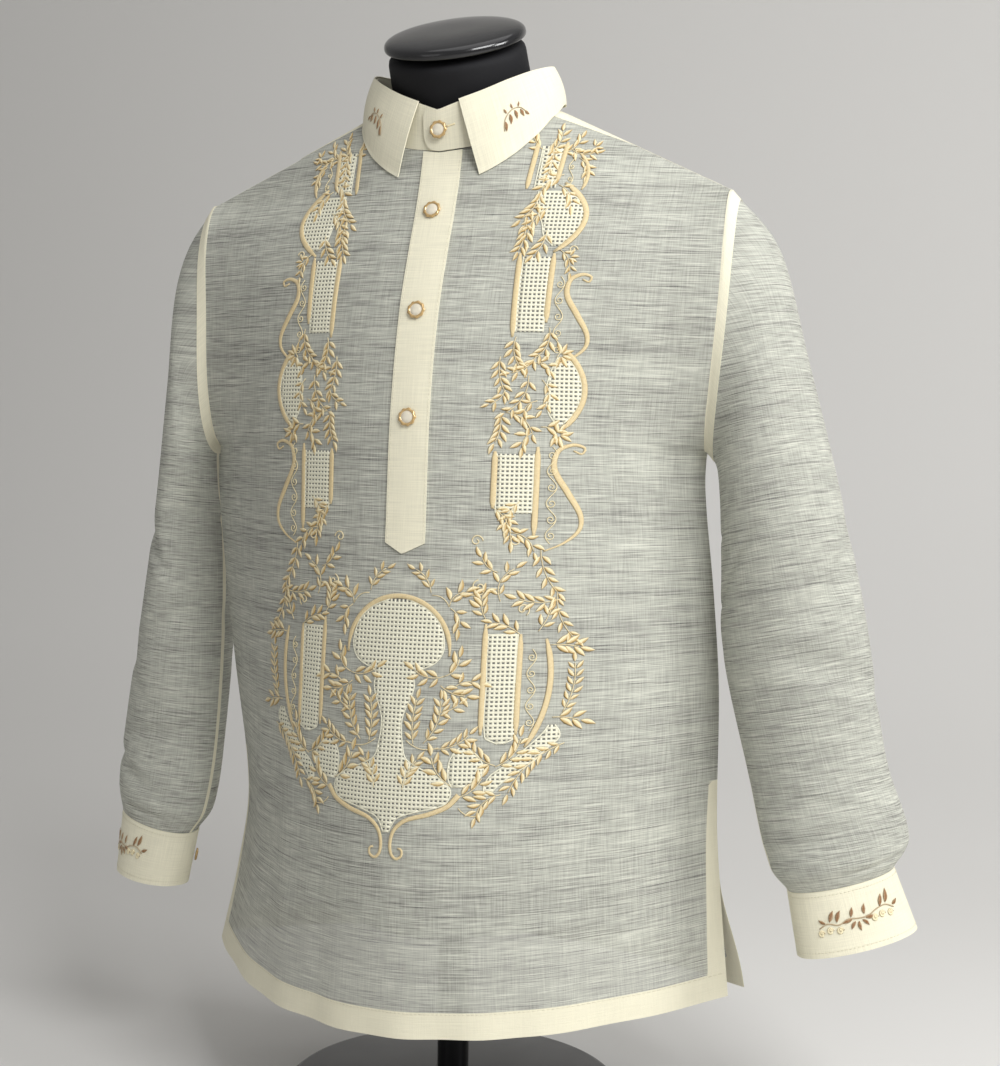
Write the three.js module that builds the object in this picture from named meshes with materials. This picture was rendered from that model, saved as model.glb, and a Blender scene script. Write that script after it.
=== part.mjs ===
// Barong tagalog on a limbless dress form. Millimetres, +Z up, the front faces -Y.
// The origin is the centre of the base's underside. Left and right are the viewer's.
import * as THREE from 'three';

// Sizes of the stand
const HEM_HEIGHT = 110;
const BASE_RADIUS = 150;
const BASE_THICK = 14;
const BASE_EDGE = 4;
const POLE_RADIUS = 14;
const POLE_FLANGE_RADIUS = 34;
const POLE_FLANGE_THICK = 6;
const FORM_BOTTOM = 55;

// Sizes of the cloth. Heights of the shirt are above the middle of its front hem.
const SINGLE = 1.1;
const DOUBLED = 1.4;
const SEAM_GAP = 0.3;
const TIP_HEIGHT = 688;
const TIP_DEPTH = -10;
const TIP_HALF = 237;
const CHEST_HEIGHT = 640;
const CHEST_DROP = 30;
const ARMHOLE_HEIGHT = 472;
const ARMHOLE_FRONT = 34;
const ARMHOLE_BACK = 54;
const ARMHOLE_GAP = 0.7;
const SLIT_TOP = 182;
const SHOULDER_ROUND = 105;
const NAPE_ROUND = 75;
const NECK_RISE = 42;
const EDGE_POWER = 9;
const FLAP_OUT = 13;
const FLAP_BACK = 8;
const FLAP_HEIGHT = 105;
const BACK_HEM = 6;
const SLEEVE_AXIS_IN = 4;
const SLEEVE_AXIS_DEPTH = 8;
const ROW_CROWDING = 1.35;
const YOKE_END_MIDDLE = 0.895;
const YOKE_END_SIDE = 0.93;

// Sizes of the neck opening, collar and placket
const NECK_SHARE = 1 / 3;
const NECK_INSIDE = NECK_SHARE - 0.00003;
const NECK_MIDDLE = -4;
const NECK_FRONT_HEIGHT = 719;
const NECK_SIDE_HEIGHT = 764;
const YOKE_FORWARD = 9;
const YOKE_REACH = 0.32;
const COLLAR_SWELL = 10;
const PLACKET_LEFT = 11;
const PLACKET_RIGHT = 14.5;
const PLACKET_BOTTOM = 386;
const PLACKET_POINT = 9;
const BUTTON_RADIUS = 7.4;
const SCALLOPS = 9;
const SCALLOP_SHARE = 0.05;
const CUFF_BUTTON_RADIUS = 5.6;
const HEM_WIDTH = 22;
const FACING_WIDTH = 13;

// Side edges of the body, from the hem to the shoulder tip: how far out on each side, where the
// side seam lies, and where the rounding of the front and of the back would end
const SIDES = [
  { z: 0, left: 249, right: 241, seam: 34, front: 34, back: 34 },
  { z: 75, left: 231, right: 234, seam: 32, front: 32, back: 32 },
  { z: 150, left: 219, right: 229, seam: 28, front: 28, back: 28 },
  { z: 269, left: 231, right: 229, seam: 22, front: 22, back: 22 },
  { z: 350, left: 238, right: 224, seam: 16, front: 15, back: 18 },
  { z: 438, left: 243, right: 216, seam: 10, front: 7, back: 17 },
  { z: 472, left: 241, right: 217, seam: 9, front: 1, back: 22 },
  { z: 530, left: 237, right: 226, seam: 2, front: -16, back: 38 },
  { z: 590, left: 234, right: 233, seam: -3, front: -31, back: 48 },
  { z: 645, left: 236, right: 236, seam: -7, front: -32, back: 34 },
  { z: 688, left: 237, right: 237, seam: -10, front: -10, back: -10 },
];

// How far the middle of the front and back stand out, and how square the front is across
const DEPTHS = [
  { z: 0, front: 168, back: 132, square: 2.0 },
  { z: 150, front: 169, back: 127, square: 2.0 },
  { z: 250, front: 159, back: 120, square: 2.0 },
  { z: 387, front: 140, back: 112, square: 2.0 },
  { z: 496, front: 131, back: 112, square: 1.95 },
  { z: 583, front: 114, back: 117, square: 1.85 },
  { z: 640, front: 93, back: 114, square: 1.8 },
  { z: 668, front: 81, back: 109, square: 1.8 },
  { z: 700, front: 70, back: 98, square: 1.8 },
  { z: 719, front: 66, back: 92, square: 1.8 },
  { z: 777, front: 64, back: 74, square: 1.8 },
  { z: 802, front: 62, back: 62, square: 1.8 },
];

// Soft folds of the body: middle and half width as shares of the half chest, depth and heights in mm
const BODY_FOLDS = [
  { part: 'front', middle: 0.8, half: 0.15, depth: 3.5, low: -80, high: 430 },
  { part: 'front', middle: 0.52, half: 0.12, depth: 1.8, low: -120, high: 260 },
  { part: 'front', middle: -0.72, half: 0.16, depth: 3.0, low: -60, high: 330 },
  { part: 'front', middle: 0.86, half: 0.12, depth: -2.6, low: 430, high: 660 },
  { part: 'back', middle: 0.35, half: 0.16, depth: 4.5, low: -160, high: 560 },
  { part: 'back', middle: -0.32, half: 0.17, depth: 4.0, low: -140, high: 590 },
  { part: 'back', middle: 0.74, half: 0.12, depth: 3.0, low: -60, high: 380 },
  { part: 'back', middle: -0.76, half: 0.12, depth: 3.2, low: -90, high: 420 },
];

// Rings of each sleeve from the armhole to the cuff: how far down, centre, the two half widths,
// the lift of the ring's outer side and its turn to the back, both in degrees
const SLEEVE_RINGS = {
  right: [
    { at: 0.16, x: 250, y: 15, z: 548, half: 94, depth: 50, lift: 75, turn: 0 },
    { at: 0.27, x: 264, y: 15, z: 490, half: 70, depth: 54, lift: 60, turn: 0 },
    { at: 0.4, x: 279, y: 15, z: 412, half: 58, depth: 55, lift: 34, turn: 0 },
    { at: 0.56, x: 293, y: 12, z: 322, half: 61, depth: 49, lift: 16, turn: 6 },
    { at: 0.77, x: 317, y: 4, z: 210, half: 57, depth: 41, lift: 12, turn: 14 },
    { at: 0.92, x: 337, y: -5, z: 146, half: 59, depth: 38, lift: 13, turn: 20 },
    { at: 1, x: 340, y: -10, z: 124, half: 45, depth: 27, lift: 14, turn: 22 },
  ],
  left: [
    { at: 0.16, x: 261, y: 14, z: 550, half: 92, depth: 50, lift: 81, turn: 0 },
    { at: 0.27, x: 268, y: 22, z: 488, half: 62, depth: 57, lift: 72, turn: 0 },
    { at: 0.4, x: 281, y: 40, z: 412, half: 30, depth: 64, lift: 26, turn: 0 },
    { at: 0.56, x: 286, y: 36, z: 322, half: 38, depth: 57, lift: 14, turn: 4 },
    { at: 0.77, x: 294, y: 24, z: 208, half: 52, depth: 40, lift: 11, turn: 14 },
    { at: 0.92, x: 296, y: 10, z: 142, half: 54, depth: 37, lift: 11, turn: 20 },
    { at: 1, x: 298, y: 1, z: 118, half: 45, depth: 27, lift: 10, turn: 22 },
  ],
};

// Soft folds of the sleeves: place down the sleeve, place round it in degrees, reach and depth
const SLEEVE_FOLDS = [
  { part: 'right', at: 0.5, slope: 0.1, width: 0.035, round: 40, spread: 70, depth: 4 },
  { part: 'right', at: 0.62, slope: -0.08, width: 0.04, round: 60, spread: 80, depth: 3.5 },
  { part: 'right', at: 0.88, slope: 0.04, width: 0.03, round: 120, spread: 80, depth: 3.5 },
  { part: 'left', at: 0.46, slope: 0.1, width: 0.035, round: 60, spread: 70, depth: 4 },
  { part: 'left', at: 0.6, slope: -0.1, width: 0.04, round: 90, spread: 80, depth: 3 },
  { part: 'left', at: 0.87, slope: 0.05, width: 0.03, round: 60, spread: 90, depth: 3.5 },
];

// Lower ring of each cuff
const CUFF_RINGS = {
  right: { x: 356, y: -19, z: 75, half: 50.5, depth: 27, lift: 14, turn: 23 },
  left: { x: 301, y: -9, z: 66, half: 41, depth: 27, lift: 5, turn: 24 },
};
const CUFF_LAP = 26;
const CUFF_LAP_AT = 205;

// Collar: heights round the neck from the front (0) to the back (180 degrees), and how far
// the edge of the fall stands out from the fold
const COLLAR = [
  { turn: 0, base: 719, fold: 754, edge: 692, out: 4 },
  { turn: 25, base: 724, fold: 767, edge: 698, out: 4 },
  { turn: 45, base: 734, fold: 779, edge: 715, out: 8 },
  { turn: 65, base: 749, fold: 789, edge: 737, out: 10 },
  { turn: 90, base: 763, fold: 797, edge: 764, out: 11 },
  { turn: 110, base: 765.5, fold: 799, edge: 768, out: 11 },
  { turn: 130, base: 769, fold: 801, edge: 772, out: 12 },
  { turn: 155, base: 775, fold: 803, edge: 776, out: 12 },
  { turn: 180, base: 777, fold: 804, edge: 777, out: 12 },
];
const FOLD_HALF = 78;
const FOLD_MIDDLE = -8;
const FOLD_DEPTH = 63;
const LEAF_START = 13;
const LEAF_TIP = 26;
const STAND_DROP = 1.5;
const STAND_GAP = 0.9;
const YOKE_CORNER = 4;
const YOKE_CORNER_TURN = 82;
const YOKE_CORNER_SPREAD = 24;
const LAP_END = -10;
const LAP_EASE_TURN = 34;
const LAP_EASE_SPREAD = 18;
const UNDERLAP_END = 369;
const LAP_RISE = 2;
const COLLAR_REST = 0.6;

// Buttons down the front, by height
const BUTTON_HEIGHTS = [735, 668, 583, 496];

// Neck of the form from the shoulders to the cap
const NECK_RINGS = [
  { y: -4, z: 756, half: 71, depth: 57, tilt: 20 },
  { y: -7, z: 770, half: 66, depth: 58, tilt: 22 },
  { y: -14, z: 785, half: 64, depth: 58, tilt: 24 },
  { y: -26, z: 804, half: 63, depth: 58, tilt: 27 },
  { y: -32, z: 816, half: 63, depth: 58, tilt: 28 },
];
const CAP_RINGS = [
  { rise: 0.3, share: 0.97 },
  { rise: 1.5, share: 1.0 },
  { rise: 6, share: 1.0 },
  { rise: 9, share: 0.95 },
  { rise: 11, share: 0.8 },
  { rise: 12.5, share: 0.45 },
];

// Clearance between the form and the cloth by height, and how far its sides draw in
const FORM_EASE = [
  { z: 0, ease: 34, share: 0.86 },
  { z: 150, ease: 30, share: 0.88 },
  { z: 300, ease: 17, share: 0.92 },
  { z: 450, ease: 7, share: 0.97 },
  { z: 560, ease: 2, share: 1 },
  { z: 640, ease: 0.5, share: 1 },
  { z: 800, ease: 0.5, share: 1 },
];
const ARM_PLATE_OUT = 12;

// Profile of a button from its back to its face: share of the radius and rise
const BUTTON_PROFILE = [
  { share: 0.7, rise: 0 },
  { share: 1, rise: 0.7 },
  { share: 1, rise: 1.7 },
  { share: 0.78, rise: 2.6 },
  { share: 0.6, rise: 2.1 },
];

const FULL_TURN = Math.PI * 2;
const DEGREE = Math.PI / 180;

// A smooth value of one named column of a table
function along(rows, by, name, at) {
  const last = rows.length - 1;
  if (at <= rows[0][by]) return rows[0][name];
  if (at >= rows[last][by]) return rows[last][name];
  let i = 0;
  while (rows[i + 1][by] < at) i += 1;
  const slope = (k) => {
    const before = rows[Math.max(k - 1, 0)];
    const after = rows[Math.min(k + 1, last)];
    return (after[name] - before[name]) / (after[by] - before[by]);
  };
  const span = rows[i + 1][by] - rows[i][by];
  const s = (at - rows[i][by]) / span;
  const s2 = s * s;
  const s3 = s2 * s;
  const start = rows[i][name] * (2 * s3 - 3 * s2 + 1) + slope(i) * span * (s3 - 2 * s2 + s);
  return start + rows[i + 1][name] * (3 * s2 - 2 * s3) + slope(i + 1) * span * (s3 - s2);
}

function mix(a, b, share) {
  return a + (b - a) * share;
}

// A rounded bump of height 1 that is zero beyond its half width
function bump(offset, half) {
  const s = Math.abs(offset) / half;
  return s < 1 ? (1 - s * s) ** 2 : 0;
}

// Height of the shoulder ridge at a share of the half chest. It runs on over the neck opening.
function ridgeHeight(share) {
  const t = Math.abs(share);
  const w = (t - NECK_SHARE) / (1 - NECK_SHARE);
  if (w >= 0) return mix(NECK_SIDE_HEIGHT, TIP_HEIGHT, w);
  return NECK_SIDE_HEIGHT + NECK_RISE * (1 - (t / NECK_SHARE) ** 2);
}

// Height of the body's top edge: neckline, then shoulder ridge
function topHeight(share, facing) {
  const t = Math.abs(share);
  if (t >= NECK_SHARE) return ridgeHeight(share);
  const turn = Math.asin(t / NECK_SHARE) / DEGREE;
  return along(COLLAR, 'turn', 'base', facing < 0 ? turn : 180 - turn);
}

// From where the body's rounding would end to its side seam or armhole edge, at a height
function edgeShift(z, facing) {
  const middle = (TIP_HEIGHT + ARMHOLE_HEIGHT) / 2;
  const cosine = Math.min(1, (z - middle) / (TIP_HEIGHT - middle));
  const open = z > ARMHOLE_HEIGHT ? Math.sqrt(1 - cosine * cosine) : 0;
  const reach = facing < 0 ? -ARMHOLE_FRONT : ARMHOLE_BACK;
  const edge = along(SIDES, 'z', 'seam', z) + reach * open;
  return edge - along(SIDES, 'z', facing < 0 ? 'front' : 'back', z);
}

// Body surface at a share of the half chest and a height
function bodyAt(share, z, facing) {
  const t = Math.abs(share);
  const column = facing < 0 ? 'front' : 'back';
  const lowAt = (height) => {
    const middle = facing * along(DEPTHS, 'z', column, height);
    return mix(middle, along(SIDES, 'z', column, height), t ** along(DEPTHS, 'z', 'square', height));
  };
  const ridge = ridgeHeight(share);
  const edgeHeight = (TIP_HEIGHT * z) / ridge;
  const drop = Math.min(1, (ridge - z) / (facing < 0 ? SHOULDER_ROUND : NAPE_ROUND));
  const lift = 1 - Math.sqrt(Math.max(0, 1 - (1 - drop) ** 2));
  const ridgeDepth = mix(NECK_MIDDLE, TIP_DEPTH, Math.max(0, (t - NECK_SHARE) / (1 - NECK_SHARE)));
  let y = lowAt(z) + (ridgeDepth - lowAt(ridge)) * lift;
  y += edgeShift(z, facing) * t ** EDGE_POWER;
  let half = along(SIDES, 'z', share < 0 ? 'left' : 'right', edgeHeight);
  for (const f of BODY_FOLDS) {
    if (f.part !== column) continue;
    const tall = (f.high - f.low) / 2;
    y += facing * f.depth * bump(share - f.middle, f.half) * bump(z - f.low - tall, tall);
  }
  if (facing > 0 && share > 0) {
    half += FLAP_OUT * bump(z, FLAP_HEIGHT);
    y += FLAP_BACK * bump(z, FLAP_HEIGHT) * t ** 4;
  }
  y += facing * SEAM_GAP * 0.5;
  return new THREE.Vector3(share * half, y, z + HEM_HEIGHT);
}

// Body surface: share runs across from -1 to 1, v from the hem to the top edge
function bodyPoint(share, v, facing) {
  return bodyAt(share, topHeight(share, facing) * v, facing);
}

// One ring of a sleeve or cuff. Round 0 is the outer side, 90 degrees the front.
function ringPoint(ring, side, round) {
  const out = Math.cos(round) * ring.half;
  const front = Math.sin(round) * ring.depth;
  const turn = ring.turn * DEGREE;
  const lift = ring.lift * DEGREE;
  const across = out * Math.cos(lift);
  return new THREE.Vector3(
    side * (ring.x + across * Math.cos(turn) + front * Math.sin(turn)),
    ring.y + across * Math.sin(turn) - front * Math.cos(turn),
    ring.z + out * Math.sin(lift) + HEM_HEIGHT,
  );
}

// Armhole edge of the body, moved out by the seam gap
function armholePoint(side, round) {
  const middle = (TIP_HEIGHT + ARMHOLE_HEIGHT) / 2;
  const z = middle + (TIP_HEIGHT - middle) * Math.cos(round);
  const facing = Math.sin(round) >= 0 ? -1 : 1;
  const point = bodyPoint(side, z / TIP_HEIGHT, facing);
  point.x += side * ARMHOLE_GAP;
  return point;
}

// Sleeve surface: round it and down it from the armhole (0) to the cuff (1)
function sleevePoint(side, round, at) {
  const part = side < 0 ? 'left' : 'right';
  const path = [{ at: 0, ...armholePoint(side, round) }];
  for (const ring of SLEEVE_RINGS[part]) path.push({ at: ring.at, ...ringPoint(ring, side, round) });
  const point = new THREE.Vector3(
    along(path, 'at', 'x', at),
    along(path, 'at', 'y', at),
    along(path, 'at', 'z', at),
  );
  const centre = sleeveCentre(side, at);
  let fold = 0;
  for (const f of SLEEVE_FOLDS) {
    if (f.part !== part) continue;
    let away = round / DEGREE - f.round;
    away -= 360 * Math.round(away / 360);
    const place = f.at + (f.slope * away) / 90;
    fold += f.depth * bump(at - place, f.width) * bump(away, f.spread);
  }
  const outward = point.clone().sub(centre).normalize();
  return point.addScaledVector(outward, -fold);
}

function sleeveCentre(side, at) {
  const part = side < 0 ? 'left' : 'right';
  const middle = (TIP_HEIGHT + ARMHOLE_HEIGHT) / 2;
  const start = { at: 0, x: TIP_HALF - SLEEVE_AXIS_IN, y: SLEEVE_AXIS_DEPTH, z: middle };
  const path = [start, ...SLEEVE_RINGS[part]];
  return new THREE.Vector3(
    side * along(path, 'at', 'x', at),
    along(path, 'at', 'y', at),
    along(path, 'at', 'z', at) + HEM_HEIGHT,
  );
}

// Cuff surface from its top (0) to its bottom (1)
function cuffPoint(side, round, at) {
  const part = side < 0 ? 'left' : 'right';
  const rings = SLEEVE_RINGS[part];
  const top = ringPoint(rings[rings.length - 1], side, round);
  const bottom = ringPoint(CUFF_RINGS[part], side, round);
  const down = bottom.clone().sub(top).normalize();
  top.addScaledVector(down, SEAM_GAP);
  return top.lerp(bottom, at);
}

// Angle from the front of the collar, 0 to 180 degrees, for a turn round the neck
function fromFront(turn) {
  const round = Math.abs(turn) % 360;
  return round > 180 ? 360 - round : round;
}

// Gap under the stand at a turn. It stands clear of the yoke's front corner under the fall.
function standGap(turn) {
  return STAND_GAP + YOKE_CORNER * bump(fromFront(turn) - YOKE_CORNER_TURN, YOKE_CORNER_SPREAD);
}

// Rise of the stand's lap over its other end, at a turn
function lapRise(turn) {
  return LAP_RISE * Math.max(0, Math.min(1, (LAP_EASE_TURN - turn) / LAP_EASE_SPREAD));
}

function foldPoint(turn) {
  return new THREE.Vector3(
    FOLD_HALF * Math.sin(turn * DEGREE),
    FOLD_MIDDLE - FOLD_DEPTH * Math.cos(turn * DEGREE),
    along(COLLAR, 'turn', 'fold', fromFront(turn)) + HEM_HEIGHT,
  );
}

// Collar stand from the neckline (0) to the fold (1). Turn 0 is the front, 180 the back.
function standPoint(turn, at) {
  const share = NECK_SHARE * Math.sin(turn * DEGREE);
  const facing = Math.cos(turn * DEGREE) > 0 ? -1 : 1;
  const base = bodyPoint(Math.max(-NECK_INSIDE, Math.min(NECK_INSIDE, share)), 1, facing);
  base.z += standGap(turn);
  const fold = foldPoint(turn);
  fold.z -= STAND_DROP;
  return base.lerp(fold, at);
}

// Collar fall from the fold (0) to its edge (1), kept clear of the body under it
function fallPoint(turn, at) {
  const round = fromFront(turn);
  const low = mix(LEAF_TIP, 180, (round - LEAF_START) / (180 - LEAF_START));
  const sign = turn > 180 ? -1 : 1;
  const out = along(COLLAR, 'turn', 'out', low);
  const fold = foldPoint(turn);
  const clear = SEAM_GAP + DOUBLED * 0.4 + (turn < 180 ? lapRise(turn) : 0);
  fold.x += sign * clear * Math.sin(round * DEGREE);
  fold.y -= clear * Math.cos(round * DEGREE);
  const edge = new THREE.Vector3(
    sign * (FOLD_HALF + out) * Math.sin(low * DEGREE),
    FOLD_MIDDLE - (FOLD_DEPTH + out) * Math.cos(low * DEGREE),
    along(COLLAR, 'turn', 'edge', low) + HEM_HEIGHT,
  );
  const point = fold.lerp(edge, at);
  const swell = COLLAR_SWELL * at * (1 - at);
  point.x += sign * swell * Math.sin(round * DEGREE);
  point.y -= swell * Math.cos(round * DEGREE);
  const height = point.z - HEM_HEIGHT;
  const share = point.x / TIP_HALF;
  if (point.y < NECK_MIDDLE && height < ridgeHeight(share)) {
    const under = bodyAt(share, height, -1).y - COLLAR_REST;
    point.y = Math.min(point.y, under);
  }
  return point;
}

// Outward normal of a surface, turned away from a middle point
function normalOf(surface, a, b, limits, middle) {
  const step = 0.002;
  const [a0, a1, b0, b1] = limits;
  const spanA = (a1 - a0) * step;
  const spanB = (b1 - b0) * step;
  const alongA = surface(Math.min(a + spanA, a1), b).sub(surface(Math.max(a - spanA, a0), b));
  const alongB = surface(a, Math.min(b + spanB, b1)).sub(surface(a, Math.max(b - spanB, b0)));
  const normal = alongA.cross(alongB).normalize();
  const away = surface(a, b).sub(middle);
  return normal.dot(away) < 0 ? normal.negate() : normal;
}

// Whether the front's top edge lies on the ridge itself, past the end of the yoke's forward part
function onRidge(share) {
  return Math.abs(share) > NECK_SHARE + YOKE_REACH;
}

// A point of the body with its outward normal. At the side seams and on the ridge it is squared
// to the seam, so that the two walls meet without crossing.
function bodyKnot(share, v, facing) {
  const surface = (a, b) => bodyPoint(a, b, facing);
  const point = surface(share, v);
  const middle = new THREE.Vector3(0, NECK_MIDDLE, Math.min(point.z, HEM_HEIGHT + CHEST_HEIGHT) - CHEST_DROP);
  const side = Math.abs(share) < 0.001 ? 0.001 : share;
  const limits = side < 0 ? [-1, 0, 0, 1] : [0, 1, 0, 1];
  const normal = normalOf(surface, side, v, limits, middle);
  const onSeam = Math.abs(share) > 0.99 && point.z - HEM_HEIGHT < ARMHOLE_HEIGHT + 6;
  if (onSeam) normal.set(Math.sign(share) / Math.max(0.5, Math.abs(normal.x)), 0, 0);
  else if (v > 0.9999 && onRidge(share)) normal.set(0, 0, 1 / Math.max(0.5, normal.z));
  return { point, normal };
}

// A point of a sleeve with its outward normal, squared to the armhole at its start
function sleeveKnot(side, round, at) {
  const surface = (a, b) => sleevePoint(side, a, b);
  const limits = [-FULL_TURN, 2 * FULL_TURN, 0, 1];
  const point = surface(round, at);
  const normal = normalOf(surface, round, at, limits, sleeveCentre(side, at));
  if (at === 0) normal.setX(0).normalize();
  return { point, normal };
}

function cuffKnot(side, round, at) {
  const surface = (a, b) => cuffPoint(side, a, b);
  const middle = surface(0, at).lerp(surface(Math.PI, at), 0.5);
  const limits = [-FULL_TURN, 2 * FULL_TURN, 0, 1];
  return { point: surface(round, at), normal: normalOf(surface, round, at, limits, middle) };
}

function collarKnot(surface, turn, at) {
  const middle = new THREE.Vector3(0, FOLD_MIDDLE, HEM_HEIGHT + TIP_HEIGHT);
  return { point: surface(turn, at), normal: normalOf(surface, turn, at, [-360, 720, 0, 1], middle) };
}

// A knot moved along its normal
function raised(knot, by) {
  return { point: knot.point.clone().addScaledVector(knot.normal, by), normal: knot.normal };
}

// One closed body from triangles of points: equal points are joined and empty triangles left out
class Body {
  constructor() {
    this.points = [];
    this.index = new Map();
    this.faces = [];
  }

  corner(p) {
    const key = [p.x, p.y, p.z].map((value) => Math.round(value * 1e4)).join(',');
    if (!this.index.has(key)) {
      this.index.set(key, this.points.length);
      this.points.push(p.clone());
    }
    return this.index.get(key);
  }

  triangle(a, b, c) {
    const ids = [this.corner(a), this.corner(b), this.corner(c)];
    if (ids[0] === ids[1] || ids[1] === ids[2] || ids[0] === ids[2]) return;
    this.faces.push(ids);
  }

  quad(a, b, c, d) {
    this.triangle(a, b, c);
    this.triangle(a, c, d);
  }

  // Skin between two rows of equal length, split the same way on both faces of a wall
  skin(low, high, closed, turnedOver = false) {
    const count = closed ? low.length : low.length - 1;
    for (let i = 0; i < count; i += 1) {
      const j = (i + 1) % low.length;
      if (turnedOver) this.quad(low[i], high[i], high[j], low[j]);
      else this.quad(low[i], low[j], high[j], high[i]);
    }
  }

  fan(row, centre) {
    for (let i = 0; i < row.length; i += 1) this.triangle(row[i], row[(i + 1) % row.length], centre);
  }

  volume() {
    let total = 0;
    for (const [a, b, c] of this.faces) {
      const cross = this.points[b].clone().cross(this.points[c]);
      total += this.points[a].dot(cross) / 6;
    }
    return total;
  }

  mesh(name, material) {
    const outward = this.volume() > 0;
    const geometry = new THREE.BufferGeometry();
    const values = this.points.flatMap((p) => [p.x, p.y, p.z]);
    geometry.setAttribute('position', new THREE.Float32BufferAttribute(values, 3));
    geometry.setIndex(this.faces.flatMap((f) => (outward ? f : [f[0], f[2], f[1]])));
    geometry.computeVertexNormals();
    const mesh = new THREE.Mesh(geometry, material);
    mesh.name = name;
    return mesh;
  }
}

// A wall of cloth: its outer face is given in rows of knots, its inner face lies the wall inside
function cloth(name, rows, wall, material, closed = false) {
  const body = new Body();
  const outer = rows.map((row) => row.map((knot) => knot.point));
  const inner = rows.map((row) => row.map((knot) => raised(knot, -wall).point));
  for (let i = 0; i + 1 < rows.length; i += 1) {
    body.skin(outer[i], outer[i + 1], closed);
    body.skin(inner[i], inner[i + 1], closed, true);
  }
  const last = rows.length - 1;
  body.skin(inner[0], outer[0], closed);
  body.skin(outer[last], inner[last], closed);
  if (!closed) {
    const end = rows[0].length - 1;
    body.skin(outer.map((row) => row[0]), inner.map((row) => row[0]), false);
    body.skin(inner.map((row) => row[end]), outer.map((row) => row[end]), false);
  }
  return body.mesh(name, material);
}

function steps(from, to, count) {
  return Array.from({ length: count + 1 }, (_, i) => mix(from, to, i / count));
}

// How much of a column the yoke takes in front of the ridge
function yokeForward(share) {
  const t = Math.abs(share);
  if (t < NECK_SHARE - 0.001) return 0;
  const w = (t - NECK_SHARE) / YOKE_REACH;
  return (YOKE_FORWARD * Math.max(0, 1 - w)) / ridgeHeight(share);
}

// Share of a column's height where the yoke ends at the back
function yokeEnd(share) {
  return mix(YOKE_END_MIDDLE, YOKE_END_SIDE, Math.abs(share));
}

// A knot between two others
function between(a, b, share) {
  return {
    point: a.point.clone().lerp(b.point, share),
    normal: a.normal.clone().lerp(b.normal, share).normalize(),
  };
}

function material(color, roughness, metalness = 0) {
  return new THREE.MeshStandardMaterial({ color, roughness, metalness });
}

const SHEER = '#cfd0c3';
const CREAM = '#ece7cf';
const BLACK = '#0c0b0d';
const PEARL = '#d9c9a4';

const part = new THREE.Group();
part.name = 'barong_tagalog';
const SIDE_NAMES = [
  { name: 'left', side: -1 },
  { name: 'right', side: 1 },
];

// Columns across the body: the placket's edges, even turns round the neck, then out to the facing
const FACING_SHARE = 1 - FACING_WIDTH / TIP_HALF;
const NECK_TURNS = [30, 50, 70, 90];
const OUTER_SHARES = [0.44, 0.55, 0.66, 0.77, 0.87, FACING_SHARE, 1];
const turnShare = (turn) => NECK_SHARE * Math.sin(turn * DEGREE);
const halfColumns = (placket) => [...[placket, ...NECK_TURNS].map(turnShare), ...OUTER_SHARES];
const LEFT_SHARES = halfColumns(PLACKET_LEFT).reverse().map((share) => -share);
const SHARES = [...LEFT_SHARES, 0, ...halfColumns(PLACKET_RIGHT)];

// Rows up the body: the hem fold, the slits, then closer together towards the shoulders
const HEM_ROW = HEM_WIDTH / NECK_FRONT_HEIGHT;
const SLIT_ROW = SLIT_TOP / TIP_HEIGHT;
const LOW_ROWS = [0, HEM_ROW, SLIT_ROW * 0.42, SLIT_ROW * 0.72, SLIT_ROW];
const HIGH_ROWS = steps(0, 1, 15).slice(1).map((s) => mix(SLIT_ROW, 1, 1 - (1 - s) ** ROW_CROWDING));
const ROWS = [...LOW_ROWS, ...HIGH_ROWS];

// Front, up to the neckline and the yoke
function frontKnot(share, v) {
  return bodyKnot(share, v * (1 - yokeForward(share)), -1);
}
const frontRows = ROWS.map((v) => SHARES.map((share) => frontKnot(share, v)));
part.add(cloth('front', frontRows, SINGLE, material(SHEER, 0.75)));

// Back, up to the yoke. Its rows are the front's, so that the side seams lie together.
const BACK_ROWS = ROWS.filter((v) => v < 0.87);
function backKnot(share, v) {
  const top = topHeight(share, 1);
  return bodyKnot(share, Math.max(v, BACK_HEM / top), 1);
}
const backSeam = SHARES.map((share) => {
  return bodyKnot(share, yokeEnd(share) - SEAM_GAP / topHeight(share, 1), 1);
});
const backRows = [...BACK_ROWS.map((v) => SHARES.map((share) => backKnot(share, v))), backSeam];
part.add(cloth('back', backRows, SINGLE, material(SHEER, 0.75)));

// Yoke, from its front edge over the shoulder ridge to its seam with the back
function yokeKnot(share, s) {
  const top = topHeight(share, 1);
  const forward = yokeForward(share);
  if (s < 0 && forward > 0) {
    return bodyKnot(share, 1 - Math.max(0, -s * forward - (SEAM_GAP * 1.2) / top), -1);
  }
  return bodyKnot(share, mix(1, yokeEnd(share), Math.max(0, s)), 1);
}
const YOKE_STEPS = [-1, -0.5, 0, 0.12, 0.25, 0.5, 0.75, 1];
const yokeRows = YOKE_STEPS.map((s) => SHARES.map((share) => {
  const knot = yokeKnot(share, s);
  if (s <= 0 && onRidge(share)) knot.point.y += SEAM_GAP * 1.2;
  return knot;
}));
part.add(cloth('yoke', yokeRows, SINGLE, material(CREAM, 0.75)));

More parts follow.
